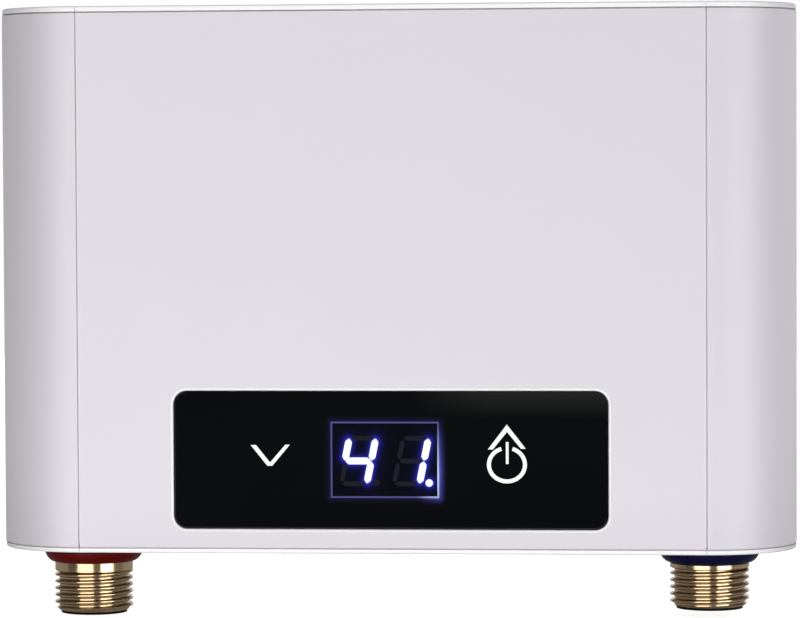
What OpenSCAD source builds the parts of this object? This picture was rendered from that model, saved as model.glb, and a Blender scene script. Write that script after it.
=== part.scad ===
// Tankless electric water heater that hangs on a wall. Millimetres, +Z up, front towards -Y.
// The origin lies on the wall plane, behind the middle of the casing.

/* [Casing] */
// Overall width of the casing
body_w = 211; // [190:1:240]
// Overall height of the casing with both caps
body_h = 143; // [142:1:170]
// Overall depth from the wall to the front face
body_d = 52; // [47:0.5:60]
// Radius of the two tall front corners
corner_r = 23.5; // [20:0.5:25]
// Radius of the two tall rear corners
rear_r = 5; // [4:0.5:7]
// Wall of the extruded side shells
shell_t = 2.4; // [2:0.1:2.8]
// Thickness of the front panel
panel_t = 2.6; // [2.4:0.1:3.4]
// Thickness of the back plate
plate_t = 2.5; // [2.2:0.1:3.2]
// Distance from a side of the casing to the edge of the back plate
flange_w = 12; // [10:0.5:14]
// Reach of the lip that a shell puts behind the panel and the plate
lip_w = 7; // [6.5:0.5:9]
// Thickness of that lip
lip_t = 1.8; // [1.4:0.1:2.4]
// Length of the lip's root on its own shell
lip_root = 4; // [3:0.5:5]
// Open line between neighbouring casing pieces
seam = 0.35; // [0.2:0.05:0.6]

/* [End caps] */
// Visible thickness of a cap at its edge
cap_t = 1.4; // [1.2:0.1:2.2]
// Rounding of a cap's outer edge
cap_round = 0.5; // [0.3:0.1:0.8]
// Step of a cap's edge inside the faces of the shells
cap_inset = 0.15; // [0.1:0.05:0.4]
// Thickness of the plug that a cap puts into the shells
plug_t = 2.2; // [2:0.1:3]
// Clearance round that plug
plug_gap = 0.25; // [0.15:0.05:0.5]
// Diameter of the screw channels in the shells
channel_d = 7; // [6.5:0.5:8]
// Distance of a channel's axis from the inner face of its shell
channel_reach = 2.7; // [2.4:0.1:3]
// Distance of the rear channels from the wall
channel_back = 9.5; // [9:0.5:14]

/* [Fasteners] */
// Diameter of the small screws
screw_d = 2.9; // [2.5:0.1:3]
// Diameter of a screw head
head_d = 5.6; // [5:0.1:6]
// Height of a screw head
head_h = 1.7; // [1.4:0.1:2]
// Clearance round a screw
screw_gap = 0.1; // [0.05:0.05:0.2]
// Width of the cross recess in a head
recess_w = 0.9; // [0.6:0.1:1.2]
// Span of the cross recess in a head
recess_l = 3; // [2.4:0.1:3.4]
// Depth of the cross recess in a head
recess_t = 0.9; // [0.6:0.1:1.1]
// Length of the cap screws
cap_screw_l = 14; // [10:1:20]
// Length of the back plate screws
plate_screw_l = 8; // [7:0.5:9]
// Grip of the heating block screws in the block
block_grip = 4; // [2:0.5:6]
// Length of the board screws and of the cut-out's screws
board_screw_l = 6; // [5:0.5:6.5]
// Distance between the screws along each edge of the back plate
plate_screw_pitch = 55; // [40:1:60]

/* [Wall keyholes] */
// Distance between the two keyholes
keyhole_pitch = 90; // [80:1:91]
// Distance of the keyhole entries below the top of the casing
keyhole_drop = 30; // [26:1:40]
// Diameter of a keyhole entry
keyhole_d = 9; // [8:0.5:10]
// Width of a keyhole slot
keyhole_slot_w = 4.6; // [4:0.1:5]
// Length of a keyhole slot above the middle of its entry
keyhole_slot_l = 11; // [9:0.5:13]

/* [Display] */
// Width of the display glass
glass_w = 113.3; // [100:0.1:116]
// Height of the display glass
glass_h = 35.8; // [34:0.1:37]
// Corner radius of the display glass
glass_r = 3.3; // [2:0.1:6]
// Thickness of the display glass
glass_t = 1.8; // [1.5:0.1:1.9]
// Height of the middle of the glass above the bottom of the casing
glass_rise = 24.6; // [24:0.1:28]
// Step of the glass behind the panel's face
glass_recess = 0.1; // [0.05:0.05:0.3]
// Gap round the glass in its pocket
glass_gap = 0.25; // [0.15:0.05:0.5]
// Chamfer on the pocket's front edge
pocket_chamfer = 0.5; // [0.3:0.1:0.8]
// Width of the ledge that carries the glass
ledge_w = 1.6; // [1:0.1:2.5]
// Width of the lit window
window_w = 28.3; // [27:0.1:31]
// Height of the lit window
window_h = 19.9; // [18:0.1:22]
// Sideways place of the middle of the window
window_x = -1.45; // [-3:0.05:3]
// Wall of the clear surround that glows round the digit module
surround_t = 0.45; // [0.3:0.05:0.8]
// Depth of the digit module
module_d = 8; // [7:0.5:9]
// Width of a digit between the middles of its segments
digit_w = 7.4; // [6.5:0.1:8]
// Height of a digit between the middles of its segments
digit_h = 11.4; // [10:0.1:12]
// Drop of the middle of the digits below the middle of the glass
digit_drop = 0.3; // [0:0.1:0.6]
// Distance between the two digits
digit_pitch = 13.75; // [13:0.05:14]
// Lean of the digits in degrees
digit_lean = 12; // [0:1:13]
// Width of a segment
segment_w = 1.4; // [1:0.1:1.8]
// Gap between the tips of neighbouring segments
segment_gap = 0.3; // [0.2:0.05:0.6]
// Depth of a segment in the module's face
segment_t = 0.5; // [0.3:0.1:1]
// Diameter of a decimal point
point_d = 1.8; // [1.4:0.1:2.2]
// Distance of a decimal point from the middle of its digit
point_dx = 4.7; // [4.5:0.1:4.9]

/* [Touch keys] */
// Sideways place of the down key
down_key_x = -31.4; // [-36:0.1:-27]
// Sideways place of the power key
power_key_x = 30.5; // [27:0.1:36]
// Depth of the key symbols in the glass
icon_t = 0.3; // [0.2:0.05:0.5]
// Width of the down symbol
chevron_w = 10.3; // [8:0.1:12]
// Height of the down symbol
chevron_h = 5.7; // [4:0.1:7]
// Height of the middle of the down symbol above the middle of the glass
chevron_rise = 1.1; // [0:0.1:2]
// Upper end of the left stroke of the down symbol
chevron_left = 1.9; // [1.2:0.1:2.4]
// Upper end of the right stroke of the down symbol
chevron_right = 1.2; // [1:0.1:2]
// Blunt point of the down symbol
chevron_tip = 1.4; // [1:0.1:2]
// Height of the stroke over that point
chevron_stroke = 1.2; // [0.8:0.1:1.6]
// Outer radius of the ring of the power symbol
ring_icon_r = 5.25; // [4:0.05:6]
// Stroke of the power symbol
icon_stroke = 1.1; // [0.8:0.1:1.4]
// Dark gap between the ring and the arrow over it
icon_gap = 0.5; // [0.3:0.1:0.8]
// Half of the ring's opening in degrees
ring_icon_gap = 21; // [15:1:35]
// Drop of the ring's middle below the middle of the glass
ring_icon_drop = 1.1; // [0:0.1:2]
// Width of the arrow over the ring
arrow_w = 9.9; // [8:0.1:12]
// Height of the arrow over the ring
arrow_h = 6.6; // [5:0.1:8]
// Height of the stroke under the arrow's tip
arrow_stroke = 2; // [1.4:0.1:2.6]
// Lower end of a leg of the arrow
arrow_end = 1.5; // [1:0.1:2]
// Height of the arrow's tip above the middle of the glass
arrow_rise = 9.35; // [9:0.05:10]
// Length of the bar of the power symbol
bar_l = 6.1; // [5:0.1:6.5]
// Width of the bar of the power symbol
bar_w = 0.9; // [0.7:0.1:1.2]
// Diameter of the contact pads behind the keys
pad_d = 9; // [6:0.5:12]

/* [Display board] */
// Width of the display board
display_board_w = 130; // [126:1:134]
// Height of the display board
display_board_h = 32; // [30:1:33]
// Thickness of both boards
board_t = 1.6; // [1.2:0.1:2]
// Inset of a post from the edges of the display board
post_inset = 3.6; // [3.4:0.1:4.5]
// Diameter of the posts that carry the boards
post_d = 6; // [5.5:0.5:7]
// Width of the ribbon to the control board
ribbon_w = 14; // [8:1:18]
// Thickness of the ribbon
ribbon_t = 0.8; // [0.5:0.1:1.2]
// Sideways place of the ribbon
ribbon_x = 22; // [20:1:34]
// Height of the ribbon's start above the middle of the display board
ribbon_rise = 8; // [4:0.5:12]
// Distance of the ribbon's end below the upper edge of the control board
ribbon_drop = 14; // [10:0.5:16]
// Level run at each end of the ribbon
ribbon_end = 8; // [4:0.5:12]

/* [Water connections] */
// Distance of a connection from its side of the casing
port_inset = 23; // [22:0.5:24.5]
// Distance of the connections in front of the middle of the casing's depth
port_offset = 0; // [-1:0.5:1]
// Outside diameter of the pipe thread
thread_d = 20.955; // [20.9:0.005:21]
// Pitch of the pipe thread
thread_pitch = 1.814; // [1.5:0.001:2]
// Depth of the pipe thread
thread_depth = 1.162; // [0.9:0.001:1.3]
// Flat on a thread crest and in a thread root
thread_flat = 0.34; // [0.2:0.01:0.4]
// Reach of the hot outlet below the casing
outlet_reach = 17.7; // [16:0.1:20]
// Plain neck of the hot outlet below its ring
outlet_neck = 1.2; // [0.4:0.1:4]
// Reach of the cold inlet below the casing
inlet_reach = 15.7; // [15:0.1:20]
// Plain neck of the cold inlet below its ring
inlet_neck = 1; // [0.4:0.1:3]
// Diameter of the plain neck
neck_d = 20.4; // [20:0.1:20.5]
// Chamfer on the end of a fitting
end_chamfer = 0.6; // [0.3:0.1:1]
// Diameter of the water way in a fitting
water_d = 14; // [12:0.5:15]
// Height of a colour ring
ring_h = 4.6; // [3:0.1:5]
// Diameter of a colour ring at the casing
ring_d = 26.6; // [25:0.1:28]
// Diameter of a colour ring at its lower edge
ring_low_d = 22; // [21.8:0.1:23]
// Clearance of rings and holes round a neck
neck_gap = 0.2; // [0.15:0.05:0.4]
// Outside diameter of the hose washers
washer_d = 17.6; // [16.5:0.1:17.8]
// Thickness of the hose washers
washer_t = 0.7; // [0.5:0.1:2]
// Diameter of the round part of a fitting's inner flange
fitting_flange_d = 25; // [24:0.5:26]
// Thickness of that flange
fitting_flange_t = 3; // [2.5:0.1:4]
// Distance of the flange screws from the fitting's axis
fitting_ear = 15; // [14.6:0.1:16]
// Diameter of the ear round a flange screw
ear_d = 8; // [7:0.5:9]
// Length of the flange screws
fitting_screw_l = 5.5; // [5:0.1:5.6]
// Diameter of a fitting's stub inside the casing
stub_d = 19; // [18.5:0.1:19.5]
// Height of the inlet's stub
inlet_stub_h = 9; // [8:0.5:12]
// Height of the outlet's stub
outlet_stub_h = 15; // [14.5:0.5:18]
// Height of the stop under the water tube in the outlet
stop_h = 3; // [2:0.5:3]

/* [Flow sensor] */
// Outside diameter of the flow sensor
sensor_d = 23; // [22.5:0.5:23.5]
// Outside diameter of its neck
sensor_neck_d = 18; // [17:0.5:19]
// Diameter of the rotor chamber
chamber_d = 16.4; // [15.5:0.1:16.6]
// Height of the rotor chamber
chamber_h = 14; // [13:0.5:18]
// Height of a bearing spider
spider_h = 3; // [2.5:0.1:4]
// Width of the bars of a bearing spider
spider_bar = 2; // [1.5:0.1:2.5]
// Seat of the loose cage, wider than the chamber
cage_seat = 0.4; // [0.3:0.05:0.5]
// Depth of the socket that takes the water tube
socket_h = 11; // [10:0.5:14]
// Height of the stop under that socket
sensor_stop_h = 1; // [0.8:0.1:1.5]
// Clearance of sockets and of pieces pushed together
socket_gap = 0.1; // [0.05:0.05:0.2]
// End play in stacked pieces
end_gap = 0.3; // [0.2:0.05:0.4]
// Diameter of the rotor shaft
shaft_d = 2; // [1.8:0.1:2.2]
// Clearance of the fixed shaft in the bearings
shaft_fit = 0.03; // [0.02:0.01:0.05]
// Running clearance of the rotor on its shaft
shaft_gap = 0.05; // [0.03:0.01:0.08]
// Diameter of the hubs
hub_d = 5.2; // [4.6:0.1:5.6]
// Number of rotor blades
blade_n = 6; // [4:1:8]
// Thickness of a rotor blade
blade_t = 1; // [0.8:0.1:1.3]
// Tilt of the rotor blades in degrees
blade_tilt = 35; // [20:1:45]
// Height of the rotor blades
blade_h = 8; // [6:0.5:8]
// Clearance of the rotor to its chamber
rotor_gap = 0.6; // [0.4:0.1:1]
// Diameter of the rotor magnet
magnet_d = 8; // [7:0.5:9]
// Height of the rotor magnet
magnet_h = 3; // [2:0.5:4]
// Width of the hall sensor
hall_w = 9; // [7:0.5:10]
// Height of the hall sensor
hall_h = 12; // [10:0.5:14]
// Thickness of the hall sensor
hall_t = 4; // [3:0.5:5]
// Reach of the flat pad that carries the hall sensor
hall_pad = 1.5; // [1:0.1:2]
// Pitch of the strainer's holes
strainer_pitch = 2.4; // [2.2:0.1:3]
// Bars between the strainer's holes
strainer_bar = 0.9; // [0.6:0.1:1.2]
// Solid rim of the strainer
strainer_rim = 1.8; // [1.4:0.1:2.4]
// Thickness of the strainer
strainer_t = 1.2; // [1:0.1:2]
// Depth of the strainer's seat above the end of the inlet
strainer_rise = 14; // [10:0.5:18]
// Step that carries the strainer in the water way
strainer_step = 1; // [0.6:0.1:1.2]

/* [Heating block] */
// Width of the cast block
block_w = 132; // [128:1:134]
// Height of the cast block
block_h = 60; // [58:1:60]
// Metal between the water tube and the block's front face
tube_cover = 4; // [3:0.5:5]
// Height of the block's lower edge above the bottom of the casing
block_rise = 75.5; // [75:0.5:76]
// Corner radius of the block
block_r = 8; // [4:0.5:10]
// Number of cast ribs on each side of the cut-out
rib_n = 4; // [2:1:4]
// Distance between the ribs
rib_pitch = 10; // [8:0.5:11]
// Thickness of a rib
rib_t = 3; // [2:0.5:4]
// Height of a rib over the block's face
rib_h = 3; // [1:0.5:4]
// Inset of the first rib from the block's ends
rib_inset = 12; // [10:0.5:14]
// Diameter of the feet
foot_d = 10; // [8:0.5:12]
// Sideways place of the feet
foot_x = 56; // [55.5:0.5:58]
// Inset of the feet from the block's upper and lower edge
foot_inset = 8; // [7:0.5:10]
// Outside diameter of the water tube
tube_d = 12; // [11:0.5:12]
// Wall of the water tube
tube_t = 1; // [0.8:0.1:1.5]
// Distance between the passes of the tube in the block
tube_pitch = 18; // [16:0.5:18]
// Bend radius of the tube outside the block
tube_bend_r = 14; // [12:0.5:15]
// Length of the block beyond the tube's return bends
tube_end = 5; // [4:0.5:7]
// Clearance of cast-in pieces
cast_gap = 0.05; // [0.03:0.01:0.1]
// Diameter of the heating elements
element_d = 6.6; // [6:0.1:7]
// Distance between the two legs of an element
element_pitch = 24; // [20:0.5:26]
// Distance of each element's middle from the middle of the block
element_x = 32; // [30:0.5:36]
// Metal between the water tube and the elements
element_gap = 1.7; // [1:0.1:2]
// Metal between the elements and the block's rear face
element_cover = 1.7; // [1:0.1:2.4]
// Distance of an element's bend from the block's upper edge
element_top = 5.5; // [4:0.5:8]
// Length of the legs below the block
element_out = 6; // [4:0.5:7]
// Height of the ceramic beads
bead_h = 3; // [2:0.5:4]
// Length of the terminal pins below the beads
pin_l = 5; // [4:0.5:6]
// Diameter of the terminal pins
pin_d = 2.4; // [2:0.1:3]
// Cross section of the seals
seal_d = 1.5; // [1.2:0.1:1.8]
// Spare room round a seal in its groove
seal_gap = 0.1; // [0.05:0.01:0.15]

/* [Safety and control] */
// Diameter of the thermal cut-out
cutout_d = 16; // [14:0.5:18]
// Height of the thermal cut-out
cutout_h = 7; // [6:0.5:7.5]
// Width of the cut-out's flange
cutout_flange_w = 29; // [28.5:0.5:32]
// Height of the cut-out's flange
cutout_flange_h = 11; // [10:0.5:14]
// Thickness of the cut-out's flange
cutout_flange_t = 1.2; // [1:0.1:1.6]
// Distance between the screws of the cut-out
cutout_pitch = 23; // [22:0.1:24]
// Diameter of the reset button
button_d = 4.4; // [3.5:0.1:5]
// Length of the reset button
button_l = 4; // [3.5:0.1:4.5]
// Height of the reset button over the cut-out
button_out = 1.8; // [1.4:0.1:2]
// Travel of the reset button
button_travel = 1; // [0.5:0.1:1.2]
// Clearance round the reset button
button_gap = 0.08; // [0.05:0.01:0.1]
// Diameter of the temperature probe
probe_d = 5; // [4:0.5:6]
// Length of the temperature probe
probe_l = 16; // [12:1:20]
// Height of the probe's middle above the bottom of the casing
probe_rise = 52; // [45:1:60]
// Height of the probe's clip
clip_h = 6; // [4:0.5:8]
// Wall of the probe's clip
clip_t = 0.8; // [0.6:0.1:1.2]
// Opening of the clip between the tube and the probe
clip_mouth = 2.5; // [2:0.1:3]
// Width of the power switch's clamp
clamp_w = 20; // [19:0.5:22]
// Depth of the clamp
clamp_d = 20; // [18:0.5:21]
// Height of the clamp
clamp_h = 17; // [16:0.5:18]
// Height of the clamp above the flow sensor
clamp_rise = 5.5; // [4:0.5:6]
// Slot in the clamp
clamp_slot = 1; // [0.8:0.1:1.5]
// Height of the clamp's screw above the middle of the power switch
clamp_screw_rise = 4; // [3:0.5:5]
// Width of the power switch
triac_w = 15; // [13:0.5:16]
// Height of the power switch
triac_h = 16; // [15:0.5:17]
// Thickness of the power switch
triac_t = 4.8; // [4:0.1:5]
// Length of the legs of the power switch
triac_leg = 6; // [4:0.5:8]
// Width of a leg of the power switch
triac_leg_w = 1; // [0.8:0.1:1.4]
// Thickness of a leg of the power switch
triac_leg_t = 0.5; // [0.4:0.1:0.8]
// Distance between the legs of the power switch
triac_pitch = 5; // [4:0.1:5.5]
// Width of the control board
board_w = 112; // [108:1:114]
// Height of the control board
board_h = 48; // [46:1:49]
// Height of the control board's lower edge above the bottom of the casing
board_rise = 8; // [7:0.5:9]
// Distance of the control board from the back plate
board_gap = 6; // [5:0.5:7]
// Inset of the control board's posts from its edges
board_inset = 4.5; // [4:0.5:5]

/* [Parts on the control board] */
// Width of the relay
relay_w = 28; // [24:1:30]
// Depth of the relay in front of the board
relay_d = 15; // [12:1:18]
// Height of the relay
relay_h = 12; // [10:0.5:12.5]
// Distance of the relay from the board's left edge
relay_x = 4; // [2:0.5:6]
// Distance of the relay from the board's lower edge
relay_rise = 16; // [15:0.5:17]
// Width of the power module
supply_w = 28; // [24:1:30]
// Depth of the power module in front of the board
supply_d = 15; // [12:1:18]
// Height of the power module
supply_h = 20; // [16:0.5:22]
// Distance of the power module and the terminal block from the board's lower edge
supply_rise = 2; // [1:0.5:4]
// Gap between the power module and the terminal block
supply_gap = 4; // [2:0.5:6]
// Side of the square control chip
chip_w = 12; // [8:0.5:14]
// Thickness of the control chip
chip_t = 1.6; // [1:0.1:2.5]
// Gap between the power module and the control chip over it
chip_gap = 8; // [6:0.5:10]
// Width of the terminal block
terminal_w = 30; // [28:0.5:31]
// Depth of the terminal block in front of the board
terminal_d = 14; // [12:0.5:16]
// Height of the terminal block
terminal_h = 16; // [14:0.5:18]
// Distance between the terminals
terminal_pitch = 9.5; // [8:0.5:10]
// Diameter of the wire entries of the terminal block
terminal_bore = 4; // [3:0.5:5]
// Diameter of the capacitors
can_d = 10; // [8:0.5:11]
// Length of the capacitors
can_l = 14; // [10:0.5:18]
// Distance of the first capacitor from the board's left edge
can_x = 14; // [13:0.5:15]
// Distance of the capacitors' middles from the board's lower edge
can_rise = 8; // [7:0.5:9]
// Gap between the capacitors
can_gap = 2; // [1:0.5:4]
// Diameter of the heater leads
lead_d = 3; // [2.5:0.1:3.2]
// Drop of the heater leads below the terminal pins
lead_drop = 12; // [9:0.5:14]
// Diameter of the sensor leads
sensor_lead_d = 1.6; // [1.2:0.1:2]
// Distance between the leads of the power switch
lead_pitch = 2.4; // [2.2:0.1:3]
// Distance of the lead ends from the side edges of the control board
lead_inset = 3.2; // [2:0.1:4]
// Distance of the hall sensor's lead from the right edge of the control board
hall_lead_inset = 9; // [8:0.5:10]
// Height of the probe's lead above the relay
probe_lead_rise = 3.2; // [2:0.1:5]

/* [Cable entry] */
// Diameter of the cable that the grommet takes
cable_d = 8; // [6:0.5:9]
// Sideways place of the cable entry
cable_x = 30; // [28:0.5:32]
// Distance of the cable entry from the wall
cable_back = 17; // [15:0.5:20]
// Diameter of the grommet's hole in the bottom cap
grommet_d = 13; // [12:0.5:14]
// Clearance of the grommet in its hole
grommet_gap = 0.1; // [0.05:0.05:0.2]
// Diameter of the grommet's lips
grommet_lip_d = 17; // [16:0.5:18]
// Thickness of a grommet's lip
grommet_lip_t = 2; // [1.5:0.1:2.4]

/* [Hidden] */
$fn = 64;

// Colours
white_plastic = [0.87, 0.86, 0.88];
black_glass = [0.04, 0.045, 0.06];
lit_white = [0.93, 0.96, 1];
glow_blue = [0.45, 0.55, 0.95];
unlit_grey = [0.1, 0.11, 0.15];
brass = [0.72, 0.57, 0.3];
steel = [0.7, 0.71, 0.73];
aluminium = [0.66, 0.67, 0.69];
board_green = [0.1, 0.35, 0.2];
rubber_black = [0.06, 0.06, 0.065];
part_black = [0.1, 0.1, 0.11];
ceramic_white = [0.92, 0.9, 0.86];
ring_blue = [0.1, 0.11, 0.32];
ring_red = [0.42, 0.08, 0.07];
strainer_white = [0.85, 0.85, 0.82];
sensor_ivory = [0.88, 0.87, 0.83];
rotor_blue = [0.15, 0.2, 0.45];
magnet_grey = [0.25, 0.25, 0.27];
element_grey = [0.42, 0.41, 0.4];
cutout_brown = [0.2, 0.19, 0.18];
signal_red = [0.7, 0.12, 0.1];
ribbon_grey = [0.75, 0.75, 0.78];
relay_blue = [0.1, 0.25, 0.5];
can_black = [0.12, 0.12, 0.16];
lead_grey = [0.2, 0.2, 0.22];

// Casing planes
half_w = body_w / 2;
top_z = body_h / 2;
base_z = -body_h / 2;
front_y = -body_d;
panel_x = half_w - corner_r;
plate_x = half_w - flange_w;
side_h = body_h - 2 * (cap_t + seam);
plug_in = cap_t + plug_t;
floor_z = base_z + plug_in;
corner_channel = corner_r - shell_t - channel_reach;
CHANNELS = [
  [panel_x + corner_channel * cos(45), front_y + corner_r - corner_channel * sin(45)],
  [half_w - shell_t - channel_reach, -channel_back]
];
plate_screw_x = plate_x - lip_w / 2;
screw_hole_d = screw_d + 2 * screw_gap;

// Display planes
glass_z = base_z + glass_rise;
glass_y = front_y + glass_recess;
glass_back = glass_y + glass_t;
display_board_y = glass_y + module_d;
display_post_x = display_board_w / 2 - post_inset;
display_post_z = display_board_h / 2 - post_inset;
module_w = window_w - 2 * surround_t;
module_h = window_h - 2 * surround_t;
ring_icon_z = -ring_icon_drop;

// Seven segments as pairs of ends: top, upper right, lower right, bottom, lower left, upper left, middle
SEGMENT_ENDS = [
  [[-1, 1], [1, 1]], [[1, 1], [1, 0]], [[1, 0], [1, -1]], [[-1, -1], [1, -1]],
  [[-1, 0], [-1, -1]], [[-1, 1], [-1, 0]], [[-1, 0], [1, 0]]
];
SEGMENT_NAMES = "abcdefg";
LIT = ["bcfg", "bc"];
LIT_POINTS = [false, true];

// Water side
port_x = half_w - port_inset;
port_y = front_y / 2 - port_offset;
ring_base = base_z - ring_h;
flange_top = floor_z + fitting_flange_t;
inlet_stub_top = flange_top + inlet_stub_h;
outlet_stub_top = flange_top + outlet_stub_h;
stub_r = stub_d / 2;
water_r = water_d / 2;
thread_r = thread_d / 2;
root_r = thread_r - thread_depth;
tube_r = tube_d / 2;
tube_bore_r = tube_r - tube_t;
socket_r = tube_r + socket_gap;
outlet_stop = outlet_stub_top - socket_h;
sensor_base = flange_top + end_gap;
cage_base = inlet_stub_top + end_gap;
chamber_base = cage_base + spider_h;
chamber_top = chamber_base + chamber_h;
spider_top = chamber_top + spider_h;
socket_base = spider_top + sensor_stop_h + end_gap;
sensor_top = socket_base + socket_h;
rotor_r = chamber_d / 2 - rotor_gap;
rotor_base = chamber_base + end_gap;
rotor_h = chamber_h - 2 * end_gap;
hall_z = chamber_base + chamber_h / 2;
hall_face = port_x - sensor_d / 2 - hall_pad;
seal_r = seal_d / 2;
seal_room = seal_d + seal_gap;

// Heating block
block_z = base_z + block_rise;
block_mid = block_z + block_h / 2;
block_front = port_y - tube_r - tube_cover;
element_y = port_y + tube_r + element_gap + element_d / 2;
block_rear = element_y + element_d / 2 + element_cover;
block_screw_l = block_grip - block_rear;
pass_z = [block_mid - tube_pitch, block_mid, block_mid + tube_pitch];
bend_x = block_w / 2 - tube_end - tube_r - tube_pitch / 2;
elbow_x = port_x - tube_bend_r;
inlet_tube_base = socket_base + end_gap;
outlet_tube_base = outlet_stop + end_gap;
element_bend_z = block_z + block_h - element_top - element_d / 2 - element_pitch / 2;
element_base = block_z - element_out;
pin_base = element_base - bead_h - pin_l;
cutout_y = block_front - cutout_flange_t - cutout_h;
cutout_z = block_mid + tube_pitch / 2;
probe_z = base_z + probe_rise;
probe_x = -port_x + socket_r + probe_d / 2;
clamp_z = sensor_top + clamp_rise;
clamp_front = port_y - clamp_d / 2;
triac_z = clamp_z + clamp_h / 2;
triac_end = triac_z - triac_h / 2 - triac_leg;
triac_leg_y = clamp_front - triac_t / 2;
clamp_screw_z = triac_z + clamp_screw_rise;
clamp_hole_l = (clamp_d - tube_d) / 2 - end_gap;

// Control board
board_back = -plate_t - board_gap;
board_front = board_back - board_t;
board_z = base_z + board_rise;
BOARD_POSTS = [
  for (x = [-1, 1], z = [board_inset, board_h - board_inset])
    [x * (board_w / 2 - board_inset), board_z + z]
];
FEET = [for (x = [-1, 1], z = [foot_inset, block_h - foot_inset]) [x * foot_x, block_z + z]];
lead_z = pin_base - lead_drop;
relay_top = board_z + relay_rise + relay_h;
terminal_x = cable_x - terminal_w / 2;
terminal_z = board_z + supply_rise + terminal_h / 2;
supply_x = terminal_x - supply_gap - supply_w;

// Plan outline of the casing, drawn in by a distance
module body_outline(inset) {
  translate([-panel_x, front_y + inset]) square([2 * panel_x, body_d - 2 * inset]);
  translate([-half_w + inset, front_y + corner_r])
    square([body_w - 2 * inset, body_d - corner_r - rear_r]);
  translate([rear_r - half_w, -2 * rear_r]) square([body_w - 2 * rear_r, 2 * rear_r - inset]);
  for (side = [-1, 1]) {
    translate([side * panel_x, front_y + corner_r]) circle(r = corner_r - inset);
    translate([side * (half_w - rear_r), -rear_r]) circle(r = rear_r - inset);
  }
}

// Rounded rectangle in the middle of the plane
module rounded_square(w, h, r) {
  square([w - 2 * r, h], center = true);
  square([w, h - 2 * r], center = true);
  for (x = [-1, 1], z = [-1, 1]) translate([x * (w / 2 - r), z * (h / 2 - r)]) circle(r = r);
}

// Slab with a drawn front outline: its front face lies at y, and it is t thick towards the wall
module front_slab(y, t) {
  translate([0, y + t, 0]) rotate([90, 0, 0]) linear_extrude(t) children();
}

// Rounded rectangle that narrows by c over a depth c, from the plane y = 0 towards the wall
module chamfer_slab(w, h, r, c) {
  translate([0, 0, r - h / 2]) linear_extrude(h - 2 * r)
    polygon([[-w / 2 - c, 0], [w / 2 + c, 0], [w / 2, c], [-w / 2, c]]);
  translate([r - w / 2, 0, 0]) rotate([90, 0, 90]) linear_extrude(w - 2 * r)
    polygon([[0, -h / 2 - c], [c, -h / 2], [c, h / 2], [0, h / 2 + c]]);
  for (x = [-1, 1], z = [-1, 1])
    translate([x * (w / 2 - r), 0, z * (h / 2 - r)]) rotate([-90, 0, 0]) cylinder(h = c, r1 = r + c, r2 = r);
}

// Round bar along Y from one plane to another
module rod_y(x, z, y1, y2, d) {
  translate([x, min(y1, y2), z]) rotate([-90, 0, 0]) cylinder(h = abs(y2 - y1), d = d);
}

// Cross recess, cut down from the plane z = 0
module cross_recess() {
  for (turn = [0, 90])
    rotate([0, 0, turn]) translate([-recess_l / 2, -recess_w / 2, -recess_t])
      cube([recess_l, recess_w, 2 * recess_t]);
}

// Flat-headed screw, its head flush with z = 0 and its tip below
module flat_screw(l) {
  difference() {
    union() {
      translate([0, 0, -head_h]) cylinder(h = head_h, r1 = screw_d / 2, r2 = head_d / 2);
      translate([0, 0, -l]) cylinder(h = l - head_h, d = screw_d);
    }
    cross_recess();
  }
}

// Hole for that screw
module flat_screw_hole(l) {
  translate([0, 0, -head_h]) cylinder(h = head_h, r1 = screw_hole_d / 2, r2 = head_d / 2 + screw_gap);
  translate([0, 0, -l - end_gap]) cylinder(h = l + end_gap, d = screw_hole_d);
}

// Pan-headed screw, its head seated on z = 0 and its tip below
module pan_screw(l) {
  difference() {
    union() {
      cylinder(h = head_h, d = head_d);
      translate([0, 0, -l]) cylinder(h = l, d = screw_d);
    }
    translate([0, 0, head_h]) cross_recess();
  }
}

// Turns what is drawn along Z so that its top faces the front
module facing_front() {
  rotate([90, 0, 0]) children();
}

// Turns what is drawn along Z so that its top faces the wall
module facing_wall() {
  rotate([-90, 0, 0]) children();
}

// Cross-section of the right side shell with its two lips
module shell_section() {
  difference() {
    body_outline(0);
    body_outline(shell_t);
    translate([-body_w, 2 * front_y]) square([body_w + panel_x + seam / 2, 3 * body_d]);
    translate([0, front_y / 2]) square([plate_x + seam / 2, body_d]);
  }
  translate([panel_x - lip_w, front_y + panel_t]) square([lip_w + lip_root, lip_t]);
  translate([panel_x + seam / 2, front_y + shell_t / 2])
    square([lip_root - seam / 2, panel_t + lip_t - shell_t / 2]);
  translate([plate_x - lip_w, -plate_t - lip_t]) square([lip_w + lip_root, lip_t]);
  translate([plate_x + seam / 2, -plate_t - lip_t])
    square([lip_root - seam / 2, plate_t + lip_t - shell_t / 2]);
}

// Extruded side shell with two screw channels, right-hand side
module side_shell() {
  difference() {
    union() {
      translate([0, 0, -side_h / 2]) linear_extrude(side_h) shell_section();
      for (at = CHANNELS)
        translate([at.x, at.y, floor_z]) cylinder(h = body_h - 2 * plug_in, d = channel_d);
    }
    for (at = CHANNELS) translate([at.x, at.y, -top_z]) cylinder(h = body_h, d = screw_hole_d);
    for (row = [-1:1])
      rod_y(plate_screw_x, row * plate_screw_pitch, -plate_t - 2 * lip_t, -plate_t, screw_hole_d);
  }
}

module right_side_shell() {
  color(white_plastic) side_shell();
}

module left_side_shell() {
  color(white_plastic) mirror([1, 0, 0]) side_shell();
}

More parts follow.
